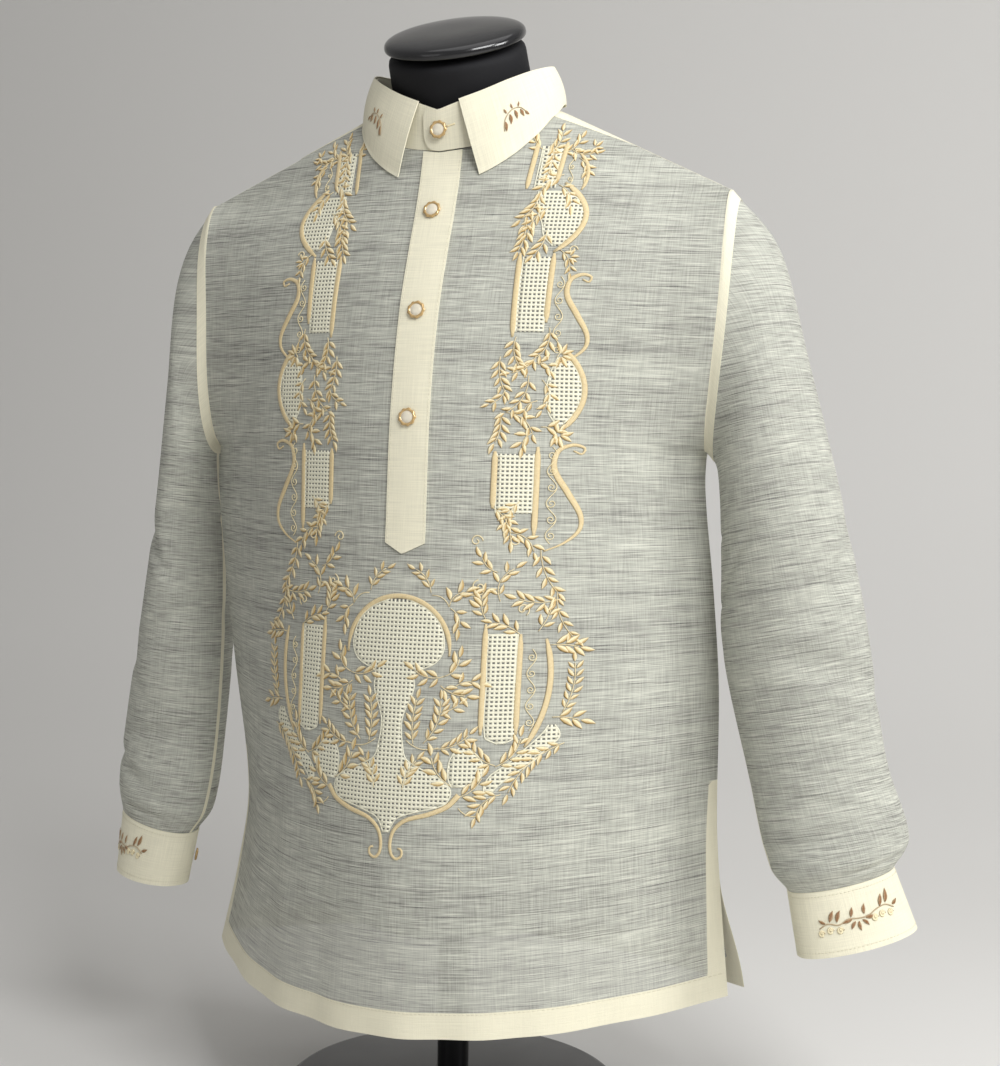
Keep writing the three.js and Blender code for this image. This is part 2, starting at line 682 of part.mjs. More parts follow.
// Sleeves with the felled band along each armhole
const ROUNDS = steps(0, FULL_TURN, 24).slice(0, -1);
const SLEEVE_STEPS = [
  0, 0.021, 0.06, 0.11, 0.17, 0.24, 0.31, 0.38, 0.46, 0.54, 0.62, 0.71, 0.8, 0.88, 0.93, 0.97, 1,
];
for (const { name, side } of SIDE_NAMES) {
  const rows = SLEEVE_STEPS.map((at) => ROUNDS.map((round) => sleeveKnot(side, round, at)));
  part.add(cloth(`${name}_sleeve`, rows, SINGLE, material(SHEER, 0.75), true));
  const band = [0.25, 1].map((k) => ROUNDS.map((round, i) => {
    return raised(between(rows[0][i], rows[1][i], k), SEAM_GAP + SINGLE);
  }));
  part.add(cloth(`${name}_armhole_band`, band, SINGLE, material(CREAM, 0.75), true));
}

// A round button with a scalloped rim, on a knot of the cloth under it
function button(name, knot, radius, color) {
  const up = knot.normal;
  const side = new THREE.Vector3(0, 0, 1).cross(up).normalize();
  const over = up.clone().cross(side);
  const body = new Body();
  const rings = BUTTON_PROFILE.map(({ share, rise }) => steps(0, FULL_TURN, 18).slice(0, -1).map((turn) => {
    const scallop = share > 0.9 ? 1 + SCALLOP_SHARE * Math.cos(turn * SCALLOPS) : 1;
    const reach = radius * share * scallop;
    return knot.point.clone()
      .addScaledVector(up, rise)
      .addScaledVector(side, reach * Math.cos(turn))
      .addScaledVector(over, reach * Math.sin(turn));
  }));
  for (let i = 0; i + 1 < rings.length; i += 1) body.skin(rings[i], rings[i + 1], true);
  const last = BUTTON_PROFILE[BUTTON_PROFILE.length - 1];
  body.fan([...rings[0]].reverse(), knot.point.clone().addScaledVector(up, BUTTON_PROFILE[0].rise));
  body.fan(rings[rings.length - 1], knot.point.clone().addScaledVector(up, last.rise));
  part.add(body.mesh(name, material(color, 0.3)));
}

// Cuffs, each a strip that laps over its own start and is buttoned there
for (const { name, side } of SIDE_NAMES) {
  const turns = steps(CUFF_LAP_AT, CUFF_LAP_AT + 360 + CUFF_LAP, 26);
  const cuffRows = steps(0, 1, 2).map((at) => turns.map((turn) => {
    const past = (turn - CUFF_LAP_AT - 360 + CUFF_LAP) / CUFF_LAP;
    const lift = Math.max(0, Math.min(1, past)) * (DOUBLED + SEAM_GAP * 2);
    return raised(cuffKnot(side, turn * DEGREE, at), lift);
  }));
  part.add(cloth(`${name}_cuff`, cuffRows, DOUBLED, material(CREAM, 0.75)));
  const seat = cuffKnot(side, (CUFF_LAP_AT + CUFF_LAP * 0.45) * DEGREE, 0.5);
  const lift = DOUBLED + SEAM_GAP * 3.4;
  button(`${name}_cuff_button`, raised(seat, lift), CUFF_BUTTON_RADIUS, PEARL);
}

// Collar stand, lapped over its other end at the front, with the lap's end rounded
const STAND_TURNS = [
  LAP_END, -8.5, -5, 0, 7, 14.5, 22, ...steps(30, 330, 30), 340, 349, 360, UNDERLAP_END,
];
const standRows = steps(0, 1, 4).map((at) => STAND_TURNS.map((turn) => {
  const short = Math.max(0, 1 - (turn - LAP_END) / 6);
  const tall = Math.sqrt(1 - short * short * 0.8);
  const knot = collarKnot(standPoint, turn, 0.5 + (at - 0.5) * tall);
  return raised(knot, lapRise(turn));
}));
part.add(cloth('collar_stand', standRows, DOUBLED, material(CREAM, 0.75)));

const FALL_TURNS = steps(LEAF_START, 360 - LEAF_START, 30);
const fallRows = steps(0, 1, 4).map((at) => FALL_TURNS.map((turn) => {
  return raised(collarKnot(fallPoint, turn, at), DOUBLED);
}));
part.add(cloth('collar_fall', fallRows, DOUBLED, material(CREAM, 0.75)));

// Placket, made from the front's own rows and moved out, with a pointed lower end
const placketShares = [-turnShare(PLACKET_LEFT), 0, turnShare(PLACKET_RIGHT)];
const placketEnd = placketShares.map((share) => {
  const height = PLACKET_BOTTOM + (share === 0 ? 0 : PLACKET_POINT);
  return raised(bodyKnot(share, height / topHeight(share, -1), -1), SEAM_GAP);
});
const placketUp = ROWS.filter((v) => v * NECK_FRONT_HEIGHT > PLACKET_BOTTOM + 14);
const placketRows = [
  placketEnd,
  ...placketUp.map((v) => placketShares.map((share) => frontKnot(share, Math.min(v, 0.998)))),
].map((row) => row.map((knot) => raised(knot, SEAM_GAP + DOUBLED)));
part.add(cloth('placket', placketRows, DOUBLED, material(CREAM, 0.75)));

// Front buttons: the first on the stand, the others on the placket
BUTTON_HEIGHTS.forEach((height, i) => {
  if (i === 0) {
    const knot = collarKnot(standPoint, 0, 0.52);
    button('button_1', raised(knot, lapRise(0) + SEAM_GAP), BUTTON_RADIUS, PEARL);
    return;
  }
  const knot = bodyKnot(0, height / NECK_FRONT_HEIGHT, -1);
  button(`button_${i + 1}`, raised(knot, DOUBLED + SEAM_GAP * 2.4), BUTTON_RADIUS, PEARL);
});

// Hem folds, turned up inside the front and the back between the slit facings
const INSIDE = -SINGLE - SEAM_GAP;
const BODY_KNOTS = { front: frontKnot, back: backKnot };
const hemColumns = SHARES.filter((share) => Math.abs(share) < FACING_SHARE - 0.001);
const HEM_SHARES = [-FACING_SHARE + 0.001, ...hemColumns, FACING_SHARE - 0.001];
for (const panel of ['front', 'back']) {
  const rows = [0, HEM_ROW].map((v) => HEM_SHARES.map((share) => {
    return raised(BODY_KNOTS[panel](share, v), INSIDE);
  }));
  part.add(cloth(`${panel}_hem`, rows, SINGLE, material(CREAM, 0.75)));
}

// Slit facings, turned in along both edges of each side slit
for (const panel of ['front', 'back']) {
  for (const { name, side } of SIDE_NAMES) {
    const rows = LOW_ROWS.map((v) => {
      const inner = raised(BODY_KNOTS[panel](side * FACING_SHARE, v), INSIDE);
      const outer = raised(BODY_KNOTS[panel](side, v), INSIDE);
      return side < 0
        ? [between(outer, inner, 0.03), between(outer, inner, 0.97)]
        : [between(inner, outer, 0.03), between(inner, outer, 0.97)];
    });
    part.add(cloth(`${panel}_${name}_facing`, rows, SINGLE, material(CREAM, 0.75)));
  }
}

// Form: a smooth torso seated under the shoulders and easing away from the cloth lower down
function formKnot(share, knot) {
  const height = knot.point.z - HEM_HEIGHT;
  const ease = along(FORM_EASE, 'z', 'ease', height);
  const point = raised(knot, -SINGLE - ease).point;
  point.x *= along(FORM_EASE, 'z', 'share', height);
  return point;
}
const formShares = SHARES.filter((share) => Math.abs(share) < 0.9);
const FORM_ROWS = ROWS.filter((v) => v > 0.1);
const YOKE_UNDER = [1, 0.75, 0.5, 0.25, 0.12];
const formFront = FORM_ROWS.map((v) => formShares.map((share) => formKnot(share, frontKnot(share, v))));
const formBackRows = BACK_ROWS.filter((v) => v > 0.1);
const formBack = [
  ...formBackRows.map((v) => formShares.map((share) => formKnot(share, backKnot(share, v)))),
  ...YOKE_UNDER.map((s) => formShares.map((share) => formKnot(share, yokeKnot(share, s)))),
];
const neckTurn = (share) => Math.asin(Math.min(1, Math.abs(share) / NECK_SHARE)) * Math.sign(share);
const ridgeRow = formShares.map((share) => {
  const drop = SINGLE + FORM_EASE[FORM_EASE.length - 1].ease;
  const point = bodyPoint(share, 1, -1);
  point.z -= drop;
  return point;
});

function neckRing(ring, grow = 1, rise = 0) {
  const tilt = ring.tilt * DEGREE;
  const lean = (turn) => {
    const out = -Math.cos(turn) * ring.depth * grow;
    return new THREE.Vector3(
      Math.sin(turn) * ring.half * grow,
      ring.y + out * Math.cos(tilt) - rise * Math.sin(tilt),
      ring.z + out * Math.sin(tilt) + rise * Math.cos(tilt) + HEM_HEIGHT,
    );
  };
  const neckShares = formShares.filter((share) => Math.abs(share) <= NECK_SHARE + 0.001);
  const front = neckShares.map((share) => lean(neckTurn(share)));
  const back = neckShares.slice(1, -1).reverse().map((share) => lean(Math.PI - neckTurn(share)));
  return [...front, ...back];
}

const form = new Body();
const armBridge = (front, back, side) => steps(0, 1, 4).slice(1, -1).map((s) => {
  const point = front.clone().lerp(back, s);
  point.x += side * Math.sin(s * Math.PI) * Math.min(1, front.distanceTo(back) / 80) * ARM_PLATE_OUT;
  return point;
});
for (const point of [...formFront[0], ...formBack[0]]) point.z = FORM_BOTTOM + HEM_HEIGHT;
const END = formShares.length - 1;
const armRows = (column, side) => formFront.map((front, i) => {
  const back = formBack[i];
  return [front[column], ...armBridge(front[column], back[column], side), back[column]];
});
const rightArm = armRows(END, 1);
const leftArm = armRows(0, -1);
const underYoke = formBack.length - YOKE_UNDER.length;
for (let i = 0; i + 1 < formFront.length; i += 1) {
  form.skin(formFront[i], formFront[i + 1], false);
  if (i < underYoke) form.skin(formBack[i], formBack[i + 1], false, true);
  else form.skin(formBack[i + 1], formBack[i], false);
  form.skin(rightArm[i], rightArm[i + 1], false);
  form.skin(leftArm[i], leftArm[i + 1], false, true);
}
const bottomRing = [
  ...formFront[0],
  ...rightArm[0].slice(1, -1),
  ...[...formBack[0]].reverse(),
  ...leftArm[0].slice(1, -1).reverse(),
];
form.fan([...bottomRing].reverse(), new THREE.Vector3(0, 0, FORM_BOTTOM + HEM_HEIGHT));
const lastFront = formFront[formFront.length - 1];
const lastBack = formBack[formBack.length - 1];
const onNeck = (share) => Math.abs(share) <= NECK_SHARE + 0.001;
const backTop = formShares.map((share, i) => {
  if (!onNeck(share) || Math.abs(share) > NECK_SHARE - 0.001) return ridgeRow[i];
  return formKnot(share, yokeKnot(share, 0));
});
for (let i = 0; i + 1 < formShares.length; i += 1) {
  const inNeck = onNeck(formShares[i]) && onNeck(formShares[i + 1]);
  if (!inNeck) form.quad(lastFront[i], lastFront[i + 1], ridgeRow[i + 1], ridgeRow[i]);
  form.quad(lastBack[i + 1], lastBack[i], backTop[i], backTop[i + 1]);
}
for (const [end, rows] of [[END, rightArm], [0, leftArm]]) {
  const arc = rows[rows.length - 1];
  for (let i = 0; i + 1 < arc.length; i += 1) {
    if (end > 0) form.triangle(arc[i], arc[i + 1], ridgeRow[end]);
    else form.triangle(arc[i + 1], arc[i], ridgeRow[end]);
  }
}
const neckIndex = formShares.map((share, i) => (onNeck(share) ? i : -1)).filter((i) => i >= 0);
const first = neckIndex[0];
const final = neckIndex[neckIndex.length - 1];
const neckLoop = neckIndex.map((i) => lastFront[i]);
const rootLoop = [
  ridgeRow[first],
  ...neckLoop.slice(1, -1),
  ridgeRow[final],
  ...neckIndex.slice(1, -1).reverse().map((i) => backTop[i]),
];
form.triangle(lastFront[first], lastFront[first + 1], ridgeRow[first]);
form.triangle(lastFront[final - 1], lastFront[final], ridgeRow[final]);
let loop = rootLoop;
for (const ring of NECK_RINGS) {
  const next = neckRing(ring);
  form.skin(loop, next, true);
  loop = next;
}
const topRing = NECK_RINGS[NECK_RINGS.length - 1];
form.fan(loop, new THREE.Vector3(0, topRing.y, topRing.z + HEM_HEIGHT));
part.add(form.mesh('form_torso', material(BLACK, 0.45)));

// Neck cap of the form
const cap = new Body();
const capRings = CAP_RINGS.map(({ rise, share }) => neckRing(topRing, share, rise));
for (let i = 0; i + 1 < capRings.length; i += 1) cap.skin(capRings[i], capRings[i + 1], true);
const capCentre = (ring) => {
  return ring.reduce((sum, p) => sum.add(p), new THREE.Vector3()).divideScalar(ring.length);
};
cap.fan([...capRings[0]].reverse(), capCentre(capRings[0]));
cap.fan(capRings[capRings.length - 1], capCentre(capRings[capRings.length - 1]));
part.add(cap.mesh('neck_cap', material(BLACK, 0.15)));

// A turned solid about the upright axis, from rows of radius and height
function turned(name, profile, sides, color, roughness, metalness) {
  const body = new Body();
  const rings = profile.map(({ radius, z }) => steps(0, FULL_TURN, sides).slice(0, -1).map((turn) => {
    return new THREE.Vector3(radius * Math.cos(turn), radius * Math.sin(turn), z);
  }));
  for (let i = 0; i + 1 < rings.length; i += 1) body.skin(rings[i], rings[i + 1], true);
  body.fan([...rings[0]].reverse(), new THREE.Vector3(0, 0, profile[0].z));
  body.fan(rings[rings.length - 1], new THREE.Vector3(0, 0, profile[profile.length - 1].z));
  part.add(body.mesh(name, material(color, roughness, metalness)));
}

const poleTop = HEM_HEIGHT + FORM_BOTTOM - SEAM_GAP;
turned('pole', [
  { radius: POLE_RADIUS, z: BASE_THICK + SEAM_GAP },
  { radius: POLE_RADIUS, z: poleTop - POLE_FLANGE_THICK },
  { radius: POLE_FLANGE_RADIUS, z: poleTop - POLE_FLANGE_THICK },
  { radius: POLE_FLANGE_RADIUS, z: poleTop },
], 20, '#2a2a2c', 0.3, 0.8);
turned('base', [
  { radius: BASE_RADIUS - 1, z: 0 },
  { radius: BASE_RADIUS, z: 1 },
  { radius: BASE_RADIUS, z: BASE_THICK - BASE_EDGE },
  { radius: BASE_RADIUS - 1.2, z: BASE_THICK - 1.2 },
  { radius: BASE_RADIUS - BASE_EDGE, z: BASE_THICK },
], 36, '#1a191b', 0.35, 0.3);

export default part;
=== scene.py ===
"""Barong tagalog on a limbless dress form: a sheer embroidered shirt of slubbed cloth.

Lengths in the tables are millimetres, in the shirt's own frame: x to the viewer's right, y to the
back, z up from the middle of the front hem. Meshes are made in metres with the base's underside at 0.
"""
import math

import bmesh
import bpy
import numpy as np
from bpy.props import FloatProperty, FloatVectorProperty, PointerProperty
from mathutils import Matrix, Vector


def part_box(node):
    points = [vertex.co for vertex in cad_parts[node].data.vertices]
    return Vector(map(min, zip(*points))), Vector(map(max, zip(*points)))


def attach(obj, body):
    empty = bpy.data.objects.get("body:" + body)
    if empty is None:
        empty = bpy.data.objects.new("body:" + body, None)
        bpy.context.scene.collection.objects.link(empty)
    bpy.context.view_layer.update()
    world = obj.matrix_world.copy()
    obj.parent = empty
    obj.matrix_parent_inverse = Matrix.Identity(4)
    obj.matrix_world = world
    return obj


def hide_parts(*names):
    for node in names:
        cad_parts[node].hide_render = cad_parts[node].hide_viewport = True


bl_info = {
    "name": "Barong tagalog on a dress form",
    "version": (1, 0, 0),
    "blender": (4, 5, 0),
    "location": "3D View > Sidebar > Barong",
    "description": "Builds a sheer embroidered shirt on a limbless dress form",
    "category": "Add Mesh",
}

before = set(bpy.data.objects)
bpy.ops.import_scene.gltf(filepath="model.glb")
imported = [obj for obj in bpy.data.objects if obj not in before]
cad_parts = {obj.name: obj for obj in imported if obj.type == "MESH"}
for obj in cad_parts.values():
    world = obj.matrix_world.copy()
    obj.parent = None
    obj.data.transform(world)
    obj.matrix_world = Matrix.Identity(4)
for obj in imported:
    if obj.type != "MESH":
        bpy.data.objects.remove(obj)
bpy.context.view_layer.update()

# Sizes shared with the solids
HEM_HEIGHT = 110
FORM_BOTTOM = 55
BASE_RADIUS = 150
BASE_THICK = 14
POLE_RADIUS = 14
DOUBLED = 1.4
SEAM_GAP = 0.3
TIP_HEIGHT = 688
TIP_DEPTH = -10
TIP_HALF = 237
ARMHOLE_HEIGHT = 472
ARMHOLE_FRONT = 34
ARMHOLE_BACK = 54
SLIT_TOP = 182
SHOULDER_ROUND = 105
NAPE_ROUND = 75
NECK_RISE = 42
EDGE_POWER = 9
FLAP_OUT = 13
FLAP_BACK = 8
FLAP_HEIGHT = 105
BACK_HEM = 6
NECK_SHARE = 1 / 3
NECK_MIDDLE = -4
NECK_FRONT_HEIGHT = 719
NECK_SIDE_HEIGHT = 764
YOKE_FORWARD = 9
YOKE_REACH = 0.32
YOKE_END_MIDDLE = 0.895
YOKE_END_SIDE = 0.93
COLLAR_SWELL = 10
PLACKET_EDGES = [NECK_SHARE * math.sin(math.radians(turn)) for turn in (11, 14.5)]
PLACKET_BOTTOM = 386
PLACKET_POINT = 9
HEM_WIDTH = 22
ARMHOLE_BAND = 11
ARMHOLE_ROWS = [0, 0.4, 3, 6.5, ARMHOLE_BAND]
ARMHOLE_POINTS = 120
FACING_WIDTH = 13
CUFF_LAP = 26
CUFF_LAP_AT = 205
FOLD_HALF = 78
FOLD_MIDDLE = -8
FOLD_DEPTH = 63
LEAF_START = 13
LEAF_TIP = 26
LAP_END = -10
UNDERLAP_END = 369
BUTTON_HEIGHTS = [735, 668, 583, 496]

# Shape of the cloth near its edges
HEM_WAVE = 2.4
HEM_WAVE_HEIGHT = 60
LAP_RISE = 2.0
LAP_RISE_FROM = 34
LAP_RISE_RUN = 18
STAND_BELOW_FOLD = 1.5
FALL_CLEAR = 0.6
# Thickness of the walls that are not of the usual one, and how far each stands off its surface
YOKE_WALL = {"thickness": 0.6, "lift": 0.25}
ARMHOLE_WALL = {"thickness": 0.5, "lift": 0.55}
PLACKET_WALL = {"thickness": 1.2, "lift": 1.35}
GROUND_THICK = 0.2
GROUND_LIFT = 0.1
CUFF_LIFT = -0.1
FALL_LIFT = 1.1
# Degrees from the middle of a sleeve at which the fold of its seam starts
SLEEVE_SEAM_AT = 177
# Where each piece lies on the bolt of cloth, so that no two share their slubs
BACK_ON_BOLT = 600
SLEEVE_ON_BOLT = 1400
SLEEVE_APART = 300

# Sizes by which needlework and buttons are laid out: reach round a piece, and its depth
HALF_GUESS = 235
FALL_RADIUS = 86
FALL_DEPTH = 60
FALL_TURN = 1.5
STAND_RADIUS = 82
STAND_DEPTH = 35
STAND_BUTTON_AT = 0.52
CUFF_RADIUS = 46
CUFF_DEPTH = 50
CHEST_STEP = 0.8
SMALL_STEP = 0.5
FACETS = 72
CUFF_BUTTON_SINK = 1.3


def table(columns, rows):
    """A short table as one array for each named column."""
    values = list(zip(*rows))
    return {name: np.array(values[i]) for i, name in enumerate(columns.split())}


# Side edges of the body, and where the rounding of the front and of the back would end
SIDES = table("z left right seam front back", [
    (0, 249, 241, 34, 34, 34),
    (75, 231, 234, 32, 32, 32),
    (150, 219, 229, 28, 28, 28),
    (269, 231, 229, 22, 22, 22),
    (350, 238, 224, 16, 15, 18),
    (438, 243, 216, 10, 7, 17),
    (472, 241, 217, 9, 1, 22),
    (530, 237, 226, 2, -16, 38),
    (590, 234, 233, -3, -31, 48),
    (645, 236, 236, -7, -32, 34),
    (688, 237, 237, -10, -10, -10),
])

# How far the middle of the front and back stand out, and how square the body is across
DEPTHS = table("z front back square", [
    (0, 168, 132, 2.0),
    (150, 169, 127, 2.0),
    (250, 159, 120, 2.0),
    (387, 140, 112, 2.0),
    (496, 131, 112, 1.95),
    (583, 114, 117, 1.85),
    (640, 93, 114, 1.8),
    (668, 81, 109, 1.8),
    (700, 70, 98, 1.8),
    (719, 66, 92, 1.8),
    (777, 64, 74, 1.8),
    (802, 62, 62, 1.8),
])

# Broad folds of the body, which the solids have too
BODY_FOLDS = table("facing middle half depth low high", [
    (-1, 0.8, 0.15, 3.5, -80, 430),
    (-1, 0.52, 0.12, 1.8, -120, 260),
    (-1, -0.72, 0.16, 3.0, -60, 330),
    (-1, 0.86, 0.12, -2.6, 430, 660),
    (1, 0.35, 0.16, 4.5, -160, 560),
    (1, -0.32, 0.17, 4.0, -140, 590),
    (1, 0.74, 0.12, 3.0, -60, 380),
    (1, -0.76, 0.12, 3.2, -90, 420),
])

# Creases laid one by one: from one point of the panel to another, how wide, how high or deep
BODY_CREASES = table("facing x0 z0 x1 z1 width depth", [
    (-1, -96, 250, -120, -20, 16, 2.6),
    (-1, -58, 150, -74, -20, 11, -1.8),
    (-1, 150, 330, 172, -20, 15, 2.2),
    (-1, 118, 190, 128, -20, 10, -1.5),
    (-1, -205, 455, -150, 560, 11, -2.2),
    (-1, -215, 440, -130, 500, 9, 1.6),
    (-1, 207, 440, 150, 545, 11, -2.0),
    (-1, 214, 430, 140, 470, 9, 1.7),
    (-1, 196, 300, 214, 190, 8, 1.6),
    (-1, -196, 320, -214, 200, 8, 1.8),
    (-1, 40, 420, 70, 380, 9, -0.9),
    (-1, 110, 690, 190, 640, 11, -1.5),
    (-1, -110, 690, -190, 640, 11, -1.5),
    (1, 120, 560, 150, -20, 15, 3.0),
    (1, 60, 420, 70, -20, 11, -2.2),
    (1, -110, 590, -150, 10, 16, 3.0),
    (1, -40, 330, -50, -20, 12, 2.0),
    (1, -190, 470, -110, 600, 12, -2.4),
    (1, 190, 470, 110, 600, 12, -2.4),
    (1, 200, 430, 130, 480, 10, 2.0),
    (1, -200, 430, -130, 480, 10, 2.0),
    (1, 0, 640, 8, 300, 18, 1.6),
])

SLEEVE_RINGS = {
    1: table("at x y z half depth lift turn", [
        (0.16, 250, 15, 548, 94, 50, 75, 0),
        (0.27, 264, 15, 490, 70, 54, 60, 0),
        (0.4, 279, 15, 412, 58, 55, 34, 0),
        (0.56, 293, 12, 322, 61, 49, 16, 6),
        (0.77, 317, 4, 210, 57, 41, 12, 14),
        (0.92, 337, -5, 146, 59, 38, 13, 20),
        (1, 340, -10, 124, 45, 27, 14, 22),
    ]),
    -1: table("at x y z half depth lift turn", [
        (0.16, 261, 14, 550, 92, 50, 81, 0),
        (0.27, 268, 22, 488, 62, 57, 72, 0),
        (0.4, 281, 40, 412, 30, 64, 26, 0),
        (0.56, 286, 36, 322, 38, 57, 14, 4),
        (0.77, 294, 24, 208, 52, 40, 11, 14),
        (0.92, 296, 10, 142, 54, 37, 11, 20),
        (1, 298, 1, 118, 45, 27, 10, 22),
    ]),
}

# Folds of the sleeves: place down the sleeve and round it in degrees, reach and depth. Those of a
# negative depth are ridges.
SLEEVE_FOLDS = table("side at slope width round spread depth", [
    (1, 0.5, 0.1, 0.035, 40, 70, 4.0),
    (1, 0.62, -0.08, 0.04, 60, 80, 3.5),
    (1, 0.88, 0.04, 0.03, 120, 80, 3.5),
    (1, 0.565, 0.06, 0.022, 90, 60, -1.6),
    (1, 0.45, 0.14, 0.02, 150, 60, 2.4),
    (1, 0.71, 0.1, 0.024, 30, 60, 1.8),
    (1, 0.8, -0.06, 0.02, 80, 70, -1.5),
    (1, 0.955, 0.02, 0.016, 60, 60, 2.2),
    (1, 0.955, -0.02, 0.016, 250, 60, 2.2),
    (1, 0.48, -0.12, 0.03, 230, 70, 3.2),
    (1, 0.66, 0.08, 0.03, 270, 80, 2.6),
    (1, 0.36, 0.12, 0.022, 170, 60, 2.0),
    (-1, 0.46, 0.1, 0.035, 60, 70, 4.0),
    (-1, 0.6, -0.1, 0.04, 90, 80, 3.0),
    (-1, 0.87, 0.05, 0.03, 60, 90, 3.5),
    (-1, 0.53, 0.08, 0.022, 110, 60, -1.6),
    (-1, 0.69, 0.1, 0.025, 50, 60, 1.8),
    (-1, 0.78, -0.05, 0.02, 100, 70, 1.8),
    (-1, 0.955, 0.02, 0.016, 90, 60, 2.2),
    (-1, 0.5, -0.12, 0.03, 230, 70, 3.0),
    (-1, 0.7, 0.08, 0.03, 280, 80, 2.6),
    (-1, 0.38, 0.1, 0.022, 160, 60, 2.0),
])

CUFF_RINGS = {
    1: {"x": 356, "y": -19, "z": 75, "half": 50.5, "depth": 27, "lift": 14, "turn": 23},
    -1: {"x": 301, "y": -9, "z": 66, "half": 41, "depth": 27, "lift": 5, "turn": 24},
}

COLLAR = table("turn base fold edge out", [
    (0, 719, 754, 692, 4),
    (25, 724, 767, 698, 4),
    (45, 734, 779, 715, 8),
    (65, 749, 789, 737, 10),
    (90, 763, 797, 764, 11),
    (110, 765.5, 799, 768, 11),
    (130, 769, 801, 772, 12),
    (155, 775, 803, 776, 12),
    (180, 777, 804, 777, 12),
])


def smooth_along(places, values, at):
    """Values given at rising places, joined by a smooth curve that stays level outside them."""
    at = np.clip(np.asarray(at, float), places[0], places[-1])
    last = len(places) - 1
    low = np.clip(np.searchsorted(places, at, side="left") - 1, 0, last - 1)
    before = np.maximum(np.arange(last + 1) - 1, 0)
    after = np.minimum(np.arange(last + 1) + 1, last)
    shape = (-1,) + (1,) * (values.ndim - 1)
    slopes = (values[after] - values[before]) / (places[after] - places[before]).reshape(shape)
    span = places[low + 1] - places[low]
    s = (at - places[low]) / span
    if values.ndim > 1:
        s = s.reshape(s.shape + (1,) * (values.ndim - 1))
        span = span.reshape(s.shape)
    start = values[low] * (2 * s**3 - 3 * s**2 + 1) + slopes[low] * span * (s**3 - 2 * s**2 + s)
    return start + values[low + 1] * (3 * s**2 - 2 * s**3) + slopes[low + 1] * span * (s**3 - s**2)


def along(rows, by, name, at):
    """Value of one column of a table at a place along another."""
    return smooth_along(rows[by].astype(float), rows[name].astype(float), at)


def mix(a, b, share):
    """The value a share of the way from a to b."""
    return a + (b - a) * share


def bump(offset, half):
    """A smooth rise of 1 in the middle that ends at half its width."""
    s = np.abs(offset) / half
    return np.where(s < 1, (1 - s * s) ** 2, 0)


def rows_of(columns):
    """The rows of a table, one dictionary each."""
    names = list(columns)
    return [dict(zip(names, row)) for row in zip(*(columns[n] for n in names))]


def ridge_height(share):
    """Height of the shoulder ridge, which runs on over the neck opening."""
    t = np.abs(share)
    w = (t - NECK_SHARE) / (1 - NECK_SHARE)
    inside = NECK_SIDE_HEIGHT + NECK_RISE * (1 - (t / NECK_SHARE) ** 2)
    return np.where(w >= 0, mix(NECK_SIDE_HEIGHT, TIP_HEIGHT, w), inside)


def top_height(share, facing):
    """Top edge of the body: the neckline, then the shoulder ridge."""
    t = np.abs(share)
    turn = np.degrees(np.arcsin(np.minimum(1, t / NECK_SHARE)))
    neck = along(COLLAR, "turn", "base", turn if facing < 0 else 180 - turn)
    return np.where(t >= NECK_SHARE, ridge_height(share), neck)


def edge_shift(z, facing):
    """How far the panel's side edge stands from the rounding that it ends."""
    middle = (TIP_HEIGHT + ARMHOLE_HEIGHT) / 2
    cosine = np.minimum(1, (z - middle) / (TIP_HEIGHT - middle))
    opened = np.where(z > ARMHOLE_HEIGHT, np.sqrt(np.maximum(0, 1 - cosine * cosine)), 0)
    reach = -ARMHOLE_FRONT if facing < 0 else ARMHOLE_BACK
    edge = along(SIDES, "z", "seam", z) + reach * opened
    return edge - along(SIDES, "z", "front" if facing < 0 else "back", z)


def half_width(share, z):
    """Width from the middle to the side edge, on the side of the share."""
    height = TIP_HEIGHT * z / ridge_height(share)
    left = along(SIDES, "z", "left", height)
    return np.where(share < 0, left, along(SIDES, "z", "right", height))


def crease_lift(x, z, facing):
    """Lift of the small creases laid on a panel, uneven along each of them."""
    lift = np.zeros_like(x)
    for k, row in enumerate(rows_of(BODY_CREASES)):
        if row["facing"] != facing:
            continue
        line = np.array([row["x1"] - row["x0"], row["z1"] - row["z0"]], float)
        length = np.hypot(*line)
        to_x, to_z = x - row["x0"], z - row["z0"]
        t = np.clip((to_x * line[0] + to_z * line[1]) / length**2, 0, 1)
        wander = row["width"] * 0.35 * np.sin(t * 5.1 + k * 1.7)
        across = (to_x * line[1] - to_z * line[0]) / length - wander
        beyond = np.maximum(0, np.hypot(to_x - t * line[0], to_z - t * line[1]) - np.abs(across))
        away = np.hypot(across, beyond)
        taper = np.sin(np.pi * (0.08 + 0.84 * t)) * (1 + 0.25 * np.sin(t * 11 + k))
        lift += row["depth"] * taper * np.exp(-((away / row["width"]) ** 2))
    return lift


